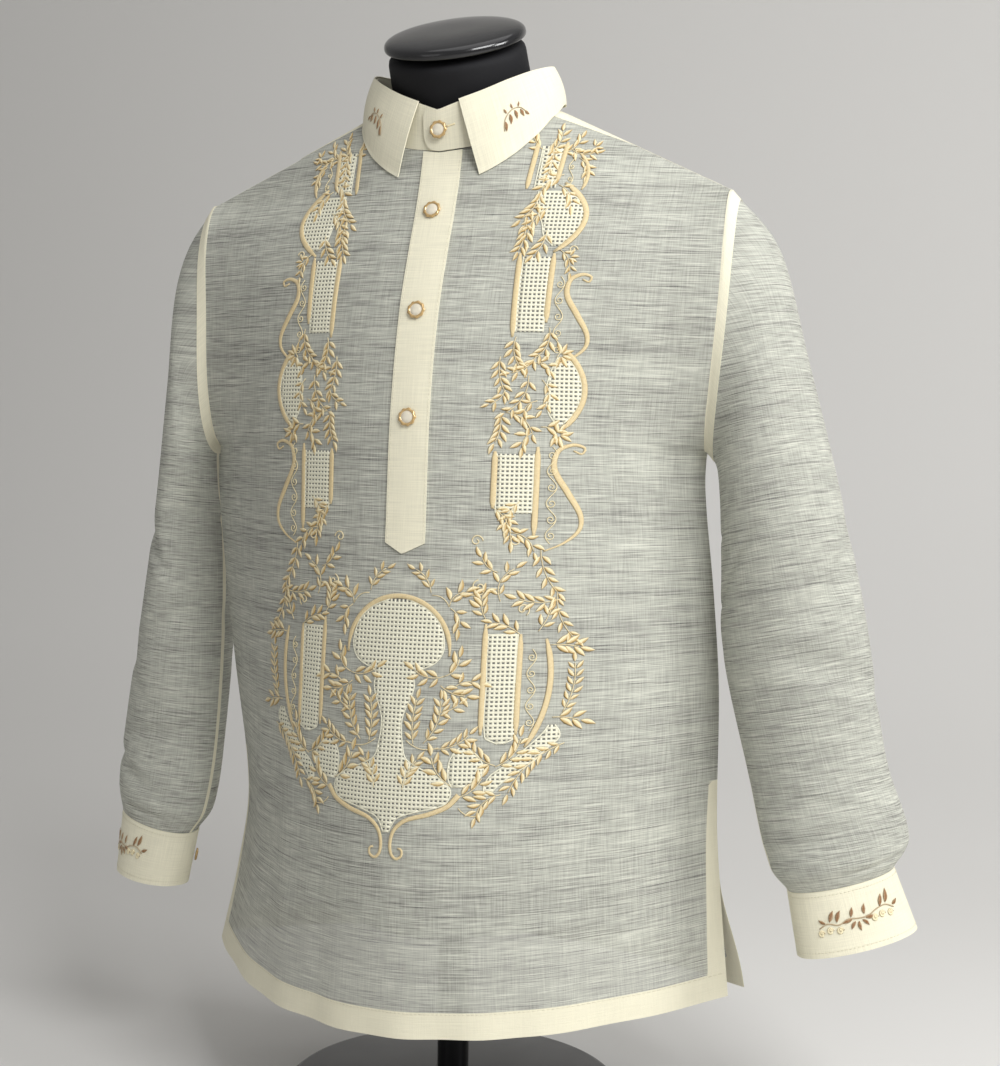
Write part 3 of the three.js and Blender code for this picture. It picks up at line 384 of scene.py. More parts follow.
def body_at(share, z, facing, creased=True):
    """Body surface at a share of the half chest and a height."""
    share, z = np.broadcast_arrays(np.asarray(share, float), np.asarray(z, float))
    t = np.abs(share)
    column = "front" if facing < 0 else "back"

    def low_at(height):
        middle = facing * along(DEPTHS, "z", column, height)
        return mix(middle, along(SIDES, "z", column, height), t ** along(DEPTHS, "z", "square", height))

    ridge = ridge_height(share)
    drop = np.minimum(1, (ridge - z) / (SHOULDER_ROUND if facing < 0 else NAPE_ROUND))
    lift = 1 - np.sqrt(np.maximum(0, 1 - (1 - drop) ** 2))
    ridge_depth = mix(NECK_MIDDLE, TIP_DEPTH, np.maximum(0, (t - NECK_SHARE) / (1 - NECK_SHARE)))
    y = low_at(z) + (ridge_depth - low_at(ridge)) * lift + edge_shift(z, facing) * t**EDGE_POWER
    half = half_width(share, z)
    for fold in rows_of(BODY_FOLDS):
        if fold["facing"] == facing:
            tall = (fold["high"] - fold["low"]) / 2
            across = bump(share - fold["middle"], fold["half"])
            y = y + facing * fold["depth"] * across * bump(z - fold["low"] - tall, tall)
    low = np.clip(1 - z / HEM_WAVE_HEIGHT, 0, 1) ** 2
    y = y + facing * low * HEM_WAVE * np.sin(share * 19 + 1) * np.sin(share * 6.5 + 0.4)
    if facing > 0:
        flap = bump(z, FLAP_HEIGHT) * (share > 0)
        half = half + FLAP_OUT * flap
        y = y + FLAP_BACK * flap * t**4
    y = y + facing * SEAM_GAP * 0.5
    if creased:
        calm = (1 - t**6) * (1 - np.exp(-((np.minimum(ridge - z, 400) / 30) ** 2)))
        y = y + facing * crease_lift(share * half, z, facing) * calm
    return np.stack([share * half, y, z], axis=-1)


def ring_point(ring, side, rounds):
    """Points of one leaning ring of a sleeve or cuff."""
    out = np.cos(rounds) * ring["half"]
    front = np.sin(rounds) * ring["depth"]
    turn, lift = math.radians(ring["turn"]), math.radians(ring["lift"])
    across = out * math.cos(lift)
    x = side * (ring["x"] + across * math.cos(turn) + front * math.sin(turn))
    y = ring["y"] + across * math.sin(turn) - front * math.cos(turn)
    return np.stack([x, y, ring["z"] + out * math.sin(lift)], axis=-1)


def armhole_point(side, rounds):
    """Points of the armhole, on the body's side edge."""
    middle = (TIP_HEIGHT + ARMHOLE_HEIGHT) / 2
    z = middle + (TIP_HEIGHT - middle) * np.cos(rounds)
    share = np.full_like(z, side)
    scale = top_height(share, -1) / TIP_HEIGHT
    front = body_at(share, z * scale, -1)
    back = body_at(share, z * scale, 1)
    return np.where((np.sin(rounds) >= 0)[:, None], front, back)


def sleeve_grid(side, rounds, steps):
    """Points of a sleeve: a row for each step from the armhole (0) to the cuff (1)."""
    rings = rows_of(SLEEVE_RINGS[side])
    path = np.stack([armhole_point(side, rounds)] + [ring_point(r, side, rounds) for r in rings])
    places = np.array([0.0] + [r["at"] for r in rings])
    points = smooth_along(places, path, steps)
    centre = smooth_along(places, path.mean(axis=1), steps)[:, None]
    fold = np.zeros(points.shape[:2])
    for f in rows_of(SLEEVE_FOLDS):
        if f["side"] == side:
            away = np.degrees(rounds) - f["round"]
            away = away - 360 * np.round(away / 360)
            place = f["at"] + f["slope"] * away / 90
            fold += f["depth"] * bump(steps[:, None] - place, f["width"]) * bump(away, f["spread"])
    outward = points - centre
    outward /= np.linalg.norm(outward, axis=-1, keepdims=True)
    return points - outward * fold[..., None]


def cuff_grid(side, rounds, steps):
    """Points of a cuff: a row for each step from the sleeve's end to its edge."""
    top = ring_point(rows_of(SLEEVE_RINGS[side])[-1], side, rounds)
    bottom = ring_point(CUFF_RINGS[side], side, rounds)
    down = bottom - top
    top = top + down / np.linalg.norm(down, axis=-1, keepdims=True) * SEAM_GAP
    return top[None] + (bottom - top)[None] * np.asarray(steps)[:, None, None]


def from_front(turn):
    """Degrees from the middle of the front, either way round."""
    turns = np.abs(turn) % 360
    return np.where(turns > 180, 360 - turns, turns)


def lap_rise(turn):
    """How far the lapped end of the stand lies over the other."""
    return LAP_RISE * np.clip((LAP_RISE_FROM - turn) / LAP_RISE_RUN, 0, 1)


def fold_point(turn):
    """The collar's fold at a turn round the neck."""
    angle = np.radians(turn)
    z = along(COLLAR, "turn", "fold", from_front(turn))
    return np.stack([FOLD_HALF * np.sin(angle), FOLD_MIDDLE - FOLD_DEPTH * np.cos(angle), z], axis=-1)


def stand_point(turn, at):
    """Collar stand from the neckline (0) to the fold (1)."""
    turn, at = np.broadcast_arrays(np.asarray(turn, float), np.asarray(at, float))
    share = np.clip(NECK_SHARE * np.sin(np.radians(turn)), -0.3333, 0.3333)
    front = body_at(share, top_height(share, -1), -1, creased=False)
    back = body_at(share, top_height(share, 1), 1, creased=False)
    base = np.where((np.cos(np.radians(turn)) > 0)[..., None], front, back)
    base[..., 2] += SEAM_GAP
    fold = fold_point(turn)
    fold[..., 2] -= STAND_BELOW_FOLD
    return mix(base, fold, at[..., None])


def fall_point(turn, at):
    """Collar fall from the fold (0) to its edge (1), resting on the body under it."""
    turn, at = np.broadcast_arrays(np.asarray(turn, float), np.asarray(at, float))
    turns = from_front(turn)
    low = mix(LEAF_TIP, 180, (turns - LEAF_START) / (180 - LEAF_START))
    sign = np.where(turn > 180, -1.0, 1.0)
    angle, low_angle = np.radians(turns), np.radians(low)
    out = along(COLLAR, "turn", "out", low)
    clear = SEAM_GAP + DOUBLED * 0.4 + np.where(turn < 180, lap_rise(turn), 0)
    fold = fold_point(turn)
    fold[..., 0] += sign * clear * np.sin(angle)
    fold[..., 1] -= clear * np.cos(angle)
    edge = np.stack([
        sign * (FOLD_HALF + out) * np.sin(low_angle),
        FOLD_MIDDLE - (FOLD_DEPTH + out) * np.cos(low_angle),
        along(COLLAR, "turn", "edge", low),
    ], axis=-1)
    point = mix(fold, edge, at[..., None])
    swell = COLLAR_SWELL * at * (1 - at)
    point[..., 0] += sign * swell * np.sin(angle)
    point[..., 1] -= swell * np.cos(angle)
    share = point[..., 0] / TIP_HALF
    rests = (point[..., 1] < NECK_MIDDLE) & (point[..., 2] < ridge_height(share))
    under = body_at(share, point[..., 2], -1, creased=False)[..., 1] - FALL_CLEAR
    point[..., 1] = np.where(rests, np.minimum(point[..., 1], under), point[..., 1])
    return point


def yoke_forward(share):
    """How far the yoke comes over the shoulder, as a share of the front's height."""
    t = np.abs(share)
    w = (t - NECK_SHARE) / YOKE_REACH
    reach = YOKE_FORWARD * np.maximum(0, 1 - w) / ridge_height(share)
    return np.where(t < NECK_SHARE - 0.001, 0, reach)


def yoke_end(share):
    """Height of the yoke's lower edge on the back, as a share of the top's."""
    return mix(YOKE_END_MIDDLE, YOKE_END_SIDE, np.abs(share))


def normals(grid):
    """Unit normals of a grid of points, facing out where the rows rise and the columns run right."""
    across = np.gradient(grid, axis=1)
    up = np.gradient(grid, axis=0)
    normal = np.cross(across, up)
    return normal / np.maximum(np.linalg.norm(normal, axis=-1, keepdims=True), 1e-9)


def placed(points):
    """Millimetres of the shirt's frame in metres of the shared frame."""
    return (np.asarray(points, float) + (0, 0, HEM_HEIGHT)) / 1000


def make_object(name, points, faces, finish, tags=None, sharp=None):
    """One mesh piece. Its tags are values kept at each point for the material to read."""
    mesh = bpy.data.meshes.new(name)
    mesh.from_pydata(placed(points).tolist(), [], faces)
    for tag, values in (tags or {}).items():
        values = np.asarray(values, np.float32)
        kind = "FLOAT_VECTOR" if values.ndim > 1 else "FLOAT"
        layer = mesh.attributes.new(tag, kind, "POINT")
        layer.data.foreach_set("vector" if values.ndim > 1 else "value", values.ravel())
    mesh.validate()
    mesh.shade_smooth()
    if sharp:
        mesh.set_sharp_from_angle(angle=math.radians(sharp))
    piece = bpy.data.objects.new(name, mesh)
    bpy.context.scene.collection.objects.link(piece)
    mesh.materials.append(finish)
    return piece


def grid_faces(rows, columns, closed, start=0, turned=False):
    """Faces between the points of a grid, counted row by row."""
    ids = start + np.arange(rows * columns).reshape(rows, columns)
    if closed:
        ids = np.concatenate([ids, ids[:, :1]], axis=1)
    corners = [ids[:-1, :-1], ids[:-1, 1:], ids[1:, 1:], ids[1:, :-1]]
    if turned:
        corners.reverse()
    return np.stack(corners, axis=-1).reshape(-1, 4)


def capped_rings(count, around):
    """Faces of a stack of rings that is closed at both ends."""
    faces = grid_faces(count, around, True).tolist()
    faces.append(list(range(around))[::-1])
    faces.append(list(range((count - 1) * around, count * around)))
    return faces


def shell(name, outer, thickness, finish, weave, doubled=0.0, closed=False, facing=None, lift=0.0):
    """A thin closed wall of cloth. outer is its outer face in rows of points."""
    normal = normals(outer)
    if closed:
        wide = np.concatenate([outer[:, -1:], outer, outer[:, :1]], axis=1)
        normal = normals(wide)[:, 1:-1]
    away = outer - outer.mean(axis=1, keepdims=True) if facing is None else np.array([0.0, facing, 0.0])
    outward = 1.0 if (normal * away).sum() > 0 else -1.0
    normal = normal * outward
    face = outer + normal * lift
    inner = face - normal * thickness
    rows, columns = outer.shape[:2]
    size = rows * columns
    turned = outward < 0
    faces = [grid_faces(rows, columns, closed, 0, turned), grid_faces(rows, columns, closed, size, not turned)]
    ids = np.arange(size).reshape(rows, columns)
    rims = [ids[0], ids[-1][::-1]]
    if not closed:
        rims += [ids[::-1, 0], ids[:, -1]]
    for rim in rims:
        ring = np.append(rim, rim[0]) if closed else rim
        strip = np.stack([ring[1:], ring[:-1], ring[:-1] + size, ring[1:] + size], axis=-1)
        faces.append(strip[:, ::-1] if turned else strip)
    depth = np.zeros(weave.shape[:2] + (1,))
    weave = np.concatenate([np.asarray(weave, float) / 1000, depth], axis=-1).reshape(-1, 3)
    doubled = np.broadcast_to(doubled, (rows, columns)).ravel()
    tags = {"weave": np.tile(weave, (2, 1)), "doubled": np.tile(doubled, 2)}
    points = np.concatenate([face.reshape(-1, 3), inner.reshape(-1, 3)])
    piece = make_object(name, points, np.concatenate(faces).tolist(), finish, tags, sharp=50)
    piece["cut"] = cut_of(face, closed)
    return piece


def cut_of(grid, closed):
    """Width, length and area in metres of the flat cloth that a grid of points was cut from."""
    if closed:
        grid = np.concatenate([grid, grid[:, :1]], axis=1)
    across = np.linalg.norm(np.diff(grid, axis=1), axis=-1)
    up = np.linalg.norm(np.diff(grid, axis=0), axis=-1)
    corners = np.cross(grid[1:, 1:] - grid[:-1, :-1], grid[1:, :-1] - grid[:-1, 1:])
    area = np.linalg.norm(corners, axis=-1).sum() / 2
    return [across.sum(axis=1).max() / 1000, up.sum(axis=0).max() / 1000, area / 1e6]


def fit(piece, slot, *nodes):
    """Puts a finished piece in the frame, where it takes the place of its solids."""
    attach(piece, "root")
    if nodes:
        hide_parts(*nodes)


def dress(piece, slot, *nodes, held="hung", rests_on=("form_torso",)):
    """Fits a piece of cloth."""
    fit(piece, slot, *nodes)


SATIN = np.array([(-1, 0), (-0.7, 0.8), (0, 1), (0.7, 0.8), (1, 0)], float)
CORD = np.array([(-1, 0), (-0.4, 1), (0.4, 1), (1, 0)], float)
LEAF = np.array([(-1, 0), (-0.5, 1), (0, 0.35), (0.5, 1), (1, 0)], float)


def curve(x0, z0, x1, z1, bend, count):
    """Points of a bowed line. bend is how far its middle stands to the left of its way."""
    t = np.linspace(0, 1, count)
    span = np.array([x1 - x0, z1 - z0], float)
    side = np.array([-span[1], span[0]]) / max(np.hypot(*span), 1e-6)
    line = np.array([x0, z0]) + t[:, None] * span
    return line + side * (4 * t * (1 - t) * bend)[:, None]


def through(points, spacing):
    """A smooth line through points, at about one spacing between them."""
    points = np.asarray(points, float)
    places = np.concatenate([[0], np.cumsum(np.linalg.norm(np.diff(points, axis=0), axis=1))])
    count = max(3, int(places[-1] / spacing) + 1)
    return smooth_along(places, points, np.linspace(0, places[-1], count))


class Needlework:
    """Threads gathered in the flat plane of a panel, and laid on its surface at the end."""

    def __init__(self, seed=1, halves=(1.0, 0.9, 0.45, 0.0, 0.45)):
        # Tones across a leaf, from deep (1) to pale (0); leaf() turns them so the pale half faces up, as
        # painted light and shade
        self.halves = halves
        self.flat, self.lift, self.tone, self.run, self.faces = [], [], [], [], []
        self.count = 0
        self.chance = np.random.default_rng(seed)

    def strip(self, path, width, height, profile=SATIN, tone=0.0, base=0.12):
        """A raised strand with a rounded section along a path."""
        path = np.asarray(path, float)
        count, across = len(path), len(profile)
        way = np.gradient(path, axis=0)
        way /= np.maximum(np.linalg.norm(way, axis=1, keepdims=True), 1e-9)
        side = np.stack([-way[:, 1], way[:, 0]], axis=1)
        width = np.broadcast_to(np.asarray(width, float), (count,))
        height = np.broadcast_to(np.asarray(height, float), (count,))
        offset = width[:, None] / 2 * profile[None, :, 0]
        length = np.concatenate([[0], np.cumsum(np.linalg.norm(np.diff(path, axis=0), axis=1))])
        self.flat.append((path[:, None] + side[:, None] * offset[..., None]).reshape(-1, 2))
        self.lift.append((base + height[:, None] * profile[None, :, 1]).ravel())
        tones = np.broadcast_to(np.asarray(tone, float), (across,))
        self.tone.append(np.tile(tones, count))
        luck = self.chance.random()
        run = np.stack(np.broadcast_arrays(length[:, None] / 1000, offset / 1000, luck), axis=-1)
        self.run.append(run.reshape(-1, 3))
        start = self.count
        self.faces += grid_faces(count, across, True, start, True).tolist()
        self.faces.append(list(range(start, start + across)))
        self.faces.append(list(range(start + (count - 1) * across, start + count * across))[::-1])
        self.count += count * across

    def bar(self, path, width, height=0.65, tone=0.5):
        """A satin bar with tapered ends."""
        t = np.linspace(0, 1, len(path))
        taper = np.clip(np.minimum(t, 1 - t) * 9, 0.25, 1) ** 0.6
        self.strip(path, width * 0.84 * taper, height * taper, SATIN, tone, 0.3)

    def thread(self, path, width=1.1, height=0.5, tone=0.15):
        """A plain cord."""
        self.strip(path, width, height, CORD, tone, 0.3)

    def leaf(self, x, z, angle, size):
        """A slender leaf of two satin halves with a crease between them: the pale half goes on the side that
        faces up, painted light, and the tan half below it, painted shade.
        """
        size = size * (1.04 + 0.2 * self.chance.random())
        t = np.linspace(0.03, 1, 7)
        way = np.array([math.cos(angle), math.sin(angle)])
        side = np.array([-way[1], way[0]])
        bow = (self.chance.random() - 0.5) * 0.16 * size
        path = np.array([x, z]) + (0.1 + 0.9 * t[:, None]) * size * way
        path = path + (np.sin(np.pi * t) * bow)[:, None] * side
        width = size * 0.35 * np.maximum(np.sin(np.pi * t**0.9), 0.03)
        # Painted light and shade: the pale tones go on the half that faces up and the deep tones on the half
        # below
        tones = self.halves
        if side[1] < 0:
            tones = tones[::-1]
        self.strip(path, width, 0.6 * np.maximum(np.sin(np.pi * t), 0.1) ** 0.5, LEAF, tones, base=0.35)

    def vine(self, x0, z0, x1, z1, bend, pairs, size):
        """A stem with pairs of leaves, and one at its end."""
        reach = math.hypot(x1 - x0, z1 - z0)
        path = curve(x0, z0, x1, z1, bend, max(6, int(reach / 2.5)))
        self.thread(path, 0.8, 0.4, 0.3)
        way = np.gradient(path, axis=0)
        pairs = min(int(pairs), round(reach / (size * 0.72)))
        for k in range(pairs):
            place = (k + 0.45) / pairs * (len(path) - 1) * 0.96
            i = int(place)
            x, z = path[i] + (path[min(i + 1, len(path) - 1)] - path[i]) * (place - i)
            angle = math.atan2(way[i][1], way[i][0])
            grow = size * (0.86 + 0.2 * math.sin(math.pi * (k + 1) / (pairs + 1)))
            for hand in (1, -1):
                lean = hand * (0.62 + 0.08 * self.chance.random())
                self.leaf(x, z, angle + lean, grow)
        if pairs:
            self.leaf(*path[-1], math.atan2(way[-1][1], way[-1][0]), size)

    def rosette(self, x, z, angle, spread, count, size):
        """A fan of broad leaves from one point."""
        for k in range(int(count)):
            turn = math.radians(angle + spread * (k / (count - 1) - 0.5))
            self.leaf(x, z, turn, size)

    def curl(self, x, z, size, angle, hand, turns=1.2, tone=0.2, width=1.1):
        """A tendril that winds in from its foot."""
        t = np.linspace(0, 1, int(16 * turns) + 4)
        radius = size * (1 - 0.82 * t)
        turn = math.radians(angle) + hand * t * turns * 2 * math.pi
        foot = math.radians(angle)
        centre = np.array([x, z]) - size * np.array([math.cos(foot), math.sin(foot)])
        path = centre + np.stack([np.cos(turn), np.sin(turn)], axis=1) * radius[:, None]
        self.thread(path, width, 0.5, tone)

    def chain(self, x, top, bottom, count, size):
        """A row of tendrils that wind to one side and the other from a waving stem."""
        z = np.linspace(top, bottom, count * 10 + 1)
        wave = np.sin((z - top) / (bottom - top) * count * math.pi)
        self.thread(np.stack([x + size * 0.6 * wave, z], axis=1), 0.8, 0.45, 0.15)
        for k in range(count):
            hand = 1 if k % 2 else -1
            middle = mix(top, bottom, (k + 0.5) / count)
            self.curl(x - hand * size * 0.6, middle, size * 0.6, 90 + hand * 90, hand, 1.3, 0.12, 0.8)

    def build(self, name, surface, finish):
        """One mesh of all the threads, laid on a surface."""
        flat = np.concatenate(self.flat)
        points, normal = surface(flat)
        points = points + normal * np.concatenate(self.lift)[:, None]
        tags = {"tone": np.concatenate(self.tone), "run": np.concatenate(self.run)}
        return make_object(name, points, self.faces, finish, tags)


def laid_on(place, step, outward=1):
    """Points and normals of a surface for two flat coordinates."""
    def surface(flat):
        a, b = flat[:, 0], flat[:, 1]
        along_a = place(a + step, b) - place(a - step, b)
        along_b = place(a, b + step) - place(a, b - step)
        normal = np.cross(along_a, along_b) * outward
        return place(a, b), normal / np.maximum(np.linalg.norm(normal, axis=1, keepdims=True), 1e-9)
    return surface


def laid_facing(place, away):
    """The same on whichever side of a small piece looks away, as seen from above."""
    surface = laid_on(place, SMALL_STEP)
    normal = surface(np.zeros((1, 2)))[1][0]
    return surface if normal[:2] @ away >= 0 else laid_on(place, SMALL_STEP, -1)


def share_at(x, z):
    """Share of the half chest at a distance from the middle of the front."""
    share = x / HALF_GUESS
    for _ in range(4):
        share = x / half_width(share, z)
    return share


def front_place(x, z):
    """The front, from millimetres across it and up it."""
    return body_at(share_at(x, z), z, -1)


def fall_place(turn, at):
    """Collar fall, from millimetres round it and down it at a turn."""
    def place(s, t):
        return fall_point(turn + np.degrees(s / FALL_RADIUS), np.clip(at - t / FALL_DEPTH, 0, 1))
    return place


def fall_edge_place(s, t):
    """Collar fall, from lengths round it and down from its fold."""
    return fall_point(s / FALL_TURN, np.clip(t / FALL_DEPTH, 0, 1))


def cuff_place(side, round_at, at):
    """Cuff, from millimetres round it and up it at a turn."""
    def place(s, t):
        rounds = np.radians(round_at) + side * -s / CUFF_RADIUS
        top = ring_point(rows_of(SLEEVE_RINGS[side])[-1], side, rounds)
        bottom = ring_point(CUFF_RINGS[side], side, rounds)
        return top + (bottom - top) * (at - t / CUFF_DEPTH)[:, None]
    return place


# Shader maths
class Number:
    """A socket of a material, so that shader maths reads as an expression."""

    def __init__(self, finish, socket):
        self.finish = finish
        self.socket = socket

    def maths(self, operation, first, second=0.0):
        """One Math node on two values."""
        return self.finish.node("ShaderNodeMath", {"operation": operation}, {0: first, 1: second})

    def __add__(self, other):
        return self.maths("ADD", self, other)

    def __sub__(self, other):
        return self.maths("SUBTRACT", self, other)

    def __rsub__(self, other):
        return self.maths("SUBTRACT", other, self)

    def __mul__(self, other):
        return self.maths("MULTIPLY", self, other)

    __radd__ = __add__
    __rmul__ = __mul__

    def clamped(self):
        """The value held between 0 and 1."""
        return self.maths("MAXIMUM", self.maths("MINIMUM", self, 1.0), 0.0)


class Finish:
    """The nodes of one material."""

    def __init__(self, name):
        self.material = bpy.data.materials.new(name)
        self.material.use_nodes = True
        self.tree = self.material.node_tree
        self.tree.nodes.clear()

    def node(self, kind, settings=None, sockets=None, out=0):
        """Any node: its settings first, then the values or links of its sockets."""
        made = self.tree.nodes.new(kind)
        for key, value in (settings or {}).items():
            setattr(made, key, value)
        for key, value in (sockets or {}).items():
            if isinstance(value, Number):
                self.tree.links.new(value.socket, made.inputs[key])
            elif isinstance(value, tuple) and len(value) == 3 and made.inputs[key].type == "RGBA":
                made.inputs[key].default_value = (*value, 1.0)
            else:
                made.inputs[key].default_value = value
        return Number(self, made.outputs[out]) if made.outputs else made

    def tag(self, name, vector=False):
        """One of the values kept at the mesh's points."""
        return self.node("ShaderNodeAttribute", {"attribute_name": name}, out=1 if vector else 2)

    def stretched(self, vector, scale, shift=(0.0, 0.0, 0.0)):
        """A place scaled and moved."""
        scaled = self.node("ShaderNodeVectorMath", {"operation": "MULTIPLY"}, {0: vector, 1: scale})
        return self.node("ShaderNodeVectorMath", {"operation": "ADD"}, {0: scaled, 1: shift})

    def noise(self, vector, scale, detail=2.0, shift=(0.0, 0.0, 0.0)):
        """Uneven cloud, stretched each way."""
        at = self.stretched(vector, scale, shift)
        return self.node("ShaderNodeTexNoise", {}, {"Vector": at, "Scale": 1.0, "Detail": detail})

    def waves(self, vector, scale):
        """Even ribs."""
        at = self.stretched(vector, scale)
        settings = {"wave_type": "BANDS", "bands_direction": "X", "wave_profile": "SIN"}
        sockets = {"Vector": at, "Scale": 1.0, "Distortion": 0.0}
        return self.node("ShaderNodeTexWave", settings, sockets, out=1)

    def blend(self, share, a, b):
        """A colour between two."""
        return self.node("ShaderNodeMix", {"data_type": "RGBA"}, {0: share, 6: a, 7: b}, out=2)

    def bump(self, height, strength, distance):
        """Fine relief of the surface."""
        sockets = {"Height": height, "Strength": strength, "Distance": distance}
        return self.node("ShaderNodeBump", {}, sockets)

    def shade(self, sockets):
        """The material's one shader and its output."""
        shader = self.node("ShaderNodeBsdfPrincipled", {}, sockets)
        self.node("ShaderNodeOutputMaterial", {}, {"Surface": shader})
        return self.material


def toned(color, share):
    """A colour made darker, or lighter where the share is over 1."""
    return tuple(c * share for c in color)


def cloth_finish(name, pale, see_through_shade, cream, cover, slub):
    """Slubbed see-through cloth, closer and creamier where it is doubled over. Its thin threads run to a
    painted grey, the shade seen through the open weave.
    """
    f = Finish(name)
    weave, doubled = f.tag("weave", vector=True), f.tag("doubled")
    fine = f.noise(weave, (48.0, 1500.0, 1.0), 1.0)
    gaps = f.noise(weave, (15.0, 1050.0, 1.0), 2.0, (3.1, 7.7, 0.4))
    thick = f.noise(weave, (24.0, 850.0, 1.0), 2.0, (9.1, 2.7, 0.9))
    upright = f.noise(weave, (1400.0, 45.0, 1.0), 1.0, (2.2, 0.6, 3.3))
    broad = f.noise(weave, (4.0, 55.0, 1.0), 4.0, (1.7, 0.3, 5.2))
    lines = ((thick - 0.56) * 6.0).clamped() * 0.6 - ((gaps - 0.53) * 5.0).clamped() * 0.75
    threads = (fine - 0.5) * 2.0 + (upright - 0.5) * 0.8 + (broad - 0.5) * 0.85 + lines
    light = (threads * slub + 0.66).clamped()
    # Painted shade: where the slubs leave the weave open, the colour runs to a grey that stands for the dark
    # seen through the cloth; the slub pattern itself is the cloth's own
    sheer = f.blend(light, see_through_shade, pale)
    soft = f.noise(weave, (900.0, 40.0, 1.0), 2.0)
    even = ((fine - 0.5) * 0.7 + (soft - 0.5) * 0.7 + 0.5).clamped()
    close = f.blend(even, toned(cream, 0.86), cream)
    mask = (doubled * 1.5 + 0.5).clamped()
    color = f.blend(mask, sheer, close)
    open_share = (1 - light) * 0.4
    alpha = ((1 - open_share) * cover * (1 - mask) + mask).clamped()
    warp = f.waves(weave, (1900.0, 0.0, 0.0))
    height = light * 0.75 + warp * 0.25
    return f.shade({
        "Base Color": color, "Roughness": (1 - light * 0.3) * 0.74, "Alpha": alpha,
        "Normal": f.bump(height, 0.45, 0.0005), "Sheen Weight": 0.1, "Sheen Roughness": 0.5,
        "Specular IOR Level": 0.25,
    })


def doubled_finish(name, cream, shadow):
    """Two layers of the cloth sewn together, with its threads showing as fine streaks."""
    f = Finish(name)
    weave = f.tag("weave", vector=True)
    along_warp = f.noise(weave, (1200.0, 26.0, 1.0), 2.0)
    along_weft = f.noise(weave, (30.0, 1200.0, 1.0), 2.0)
    broad = f.noise(weave, (18.0, 24.0, 1.0), 2.0, (4.0, 1.0, 2.0))
    threads = (along_warp - 0.5) * 1.6 + (along_weft - 0.5) * 1.1 + (broad - 0.5) * 0.6
    light = (threads + 0.6).clamped()
    fine = f.waves(weave, (1500.0, 0.0, 0.0))
    return f.shade({
        "Base Color": f.blend(light, shadow, cream), "Roughness": 0.72 - light * 0.12,
        "Normal": f.bump(light * 0.6 + fine * 0.4, 0.4, 0.0004), "Sheen Weight": 0.1,
        "Specular IOR Level": 0.3,
    })


def satin_finish(name, pale, deep):
    """Silky embroidery thread laid side by side, from a pale to a deep tone, with painted shade in the grooves
    between its threads.
    """
    f = Finish(name)
    tone, run = f.tag("tone"), f.tag("run", vector=True)
    ply = f.waves(run, (330.0, 110.0, 0.0))
    fleck = f.noise(run, (700.0, 400.0, 40.0), 2.0)
    # On the leaves the tone is painted light and shade, pale on the half that faces up; elsewhere it is the
    # thread's own colour, and the flecks are random
    shade = (tone + (fleck - 0.5) * 0.4).clamped()
    # Painted shade: the grooves between the threads darken towards half the deep tone
    groove_shade = (ply * 0.13).clamped()
    color = f.blend(groove_shade, f.blend(shade, pale, deep), toned(deep, 0.5))
    return f.shade({
        "Base Color": color, "Roughness": 0.34 + fleck * 0.2, "Normal": f.bump(ply, 0.6, 0.0004),
        "Sheen Weight": 0.15, "Specular IOR Level": 0.5,
    })


def lattice_finish(name, pale, grey):
    """Bundled threads of the drawn work."""
    f = Finish(name)
    run = f.tag("run", vector=True)
    strand = f.noise(run, (160.0, 3200.0, 30.0), 2.0)
    shade = ((strand - 0.5) * 1.6 + 0.6).clamped()
    return f.shade({
        "Base Color": f.blend(shade, grey, pale), "Roughness": 0.75 - shade * 0.1,
        "Normal": f.bump(strand, 0.5, 0.0003), "Specular IOR Level": 0.25,
    })


def shell_button_finish(name, rim, pearl):
    """Pearly button with a gilt scalloped rim."""
    f = Finish(name)
    tone, place = f.tag("tone"), f.tag("run", vector=True)
    cloud = f.noise(place, (260.0, 260.0, 260.0), 3.0)
    middle, edge = f.blend(cloud, toned(pearl, 0.75), pearl), f.blend(cloud, toned(rim, 0.7), rim)
    color = f.blend(tone.clamped(), middle, edge)
    return f.shade({
        "Base Color": color, "Roughness": cloud * 0.2 + 0.12, "Metallic": tone.clamped() * 0.35,
        "Coat Weight": 0.5, "Normal": f.bump(cloud, 0.15, 0.0003),
    })


def cover_finish(name, color, knit):
    """Close stretch cover of the form, with a faint rib."""
    f = Finish(name)
    place = f.node("ShaderNodeTexCoord", {}, out=3)
    rib = f.waves(place, (900.0, 0.0, 0.0))
    fuzz = f.noise(place, (700.0, 700.0, 700.0), 3.0)
    return f.shade({
        "Base Color": f.blend(fuzz, color, toned(color, 2.2)), "Roughness": fuzz * 0.3 + 0.6,
        "Normal": f.bump(rib * 0.5 + fuzz * 0.5, knit, 0.0004), "Specular IOR Level": 0.25,
    })


def gloss_finish(name, color, roughness, metallic):
    """Lacquered or painted hard part with slight wear in its gloss."""
    f = Finish(name)
    place = f.node("ShaderNodeTexCoord", {}, out=3)
    smear = f.noise(place, (14.0, 14.0, 30.0), 4.0)
    grain = f.noise(place, (900.0, 900.0, 900.0), 2.0)
    return f.shade({
        "Base Color": f.blend(smear, color, toned(color, 1.4)),
        "Roughness": smear * 0.16 + roughness, "Metallic": metallic, "Coat Weight": 0.3,
        "Normal": f.bump(grain, 0.08, 0.0003),
    })


def floor_finish(name, color):
    """Plain matt paper."""
    f = Finish(name)
    grain = f.noise(f.node("ShaderNodeTexCoord", {}, out=3), (300.0, 300.0, 300.0), 2.0)
    return f.shade({"Base Color": f.blend(grain, color, toned(color, 0.985)), "Roughness": 0.85})


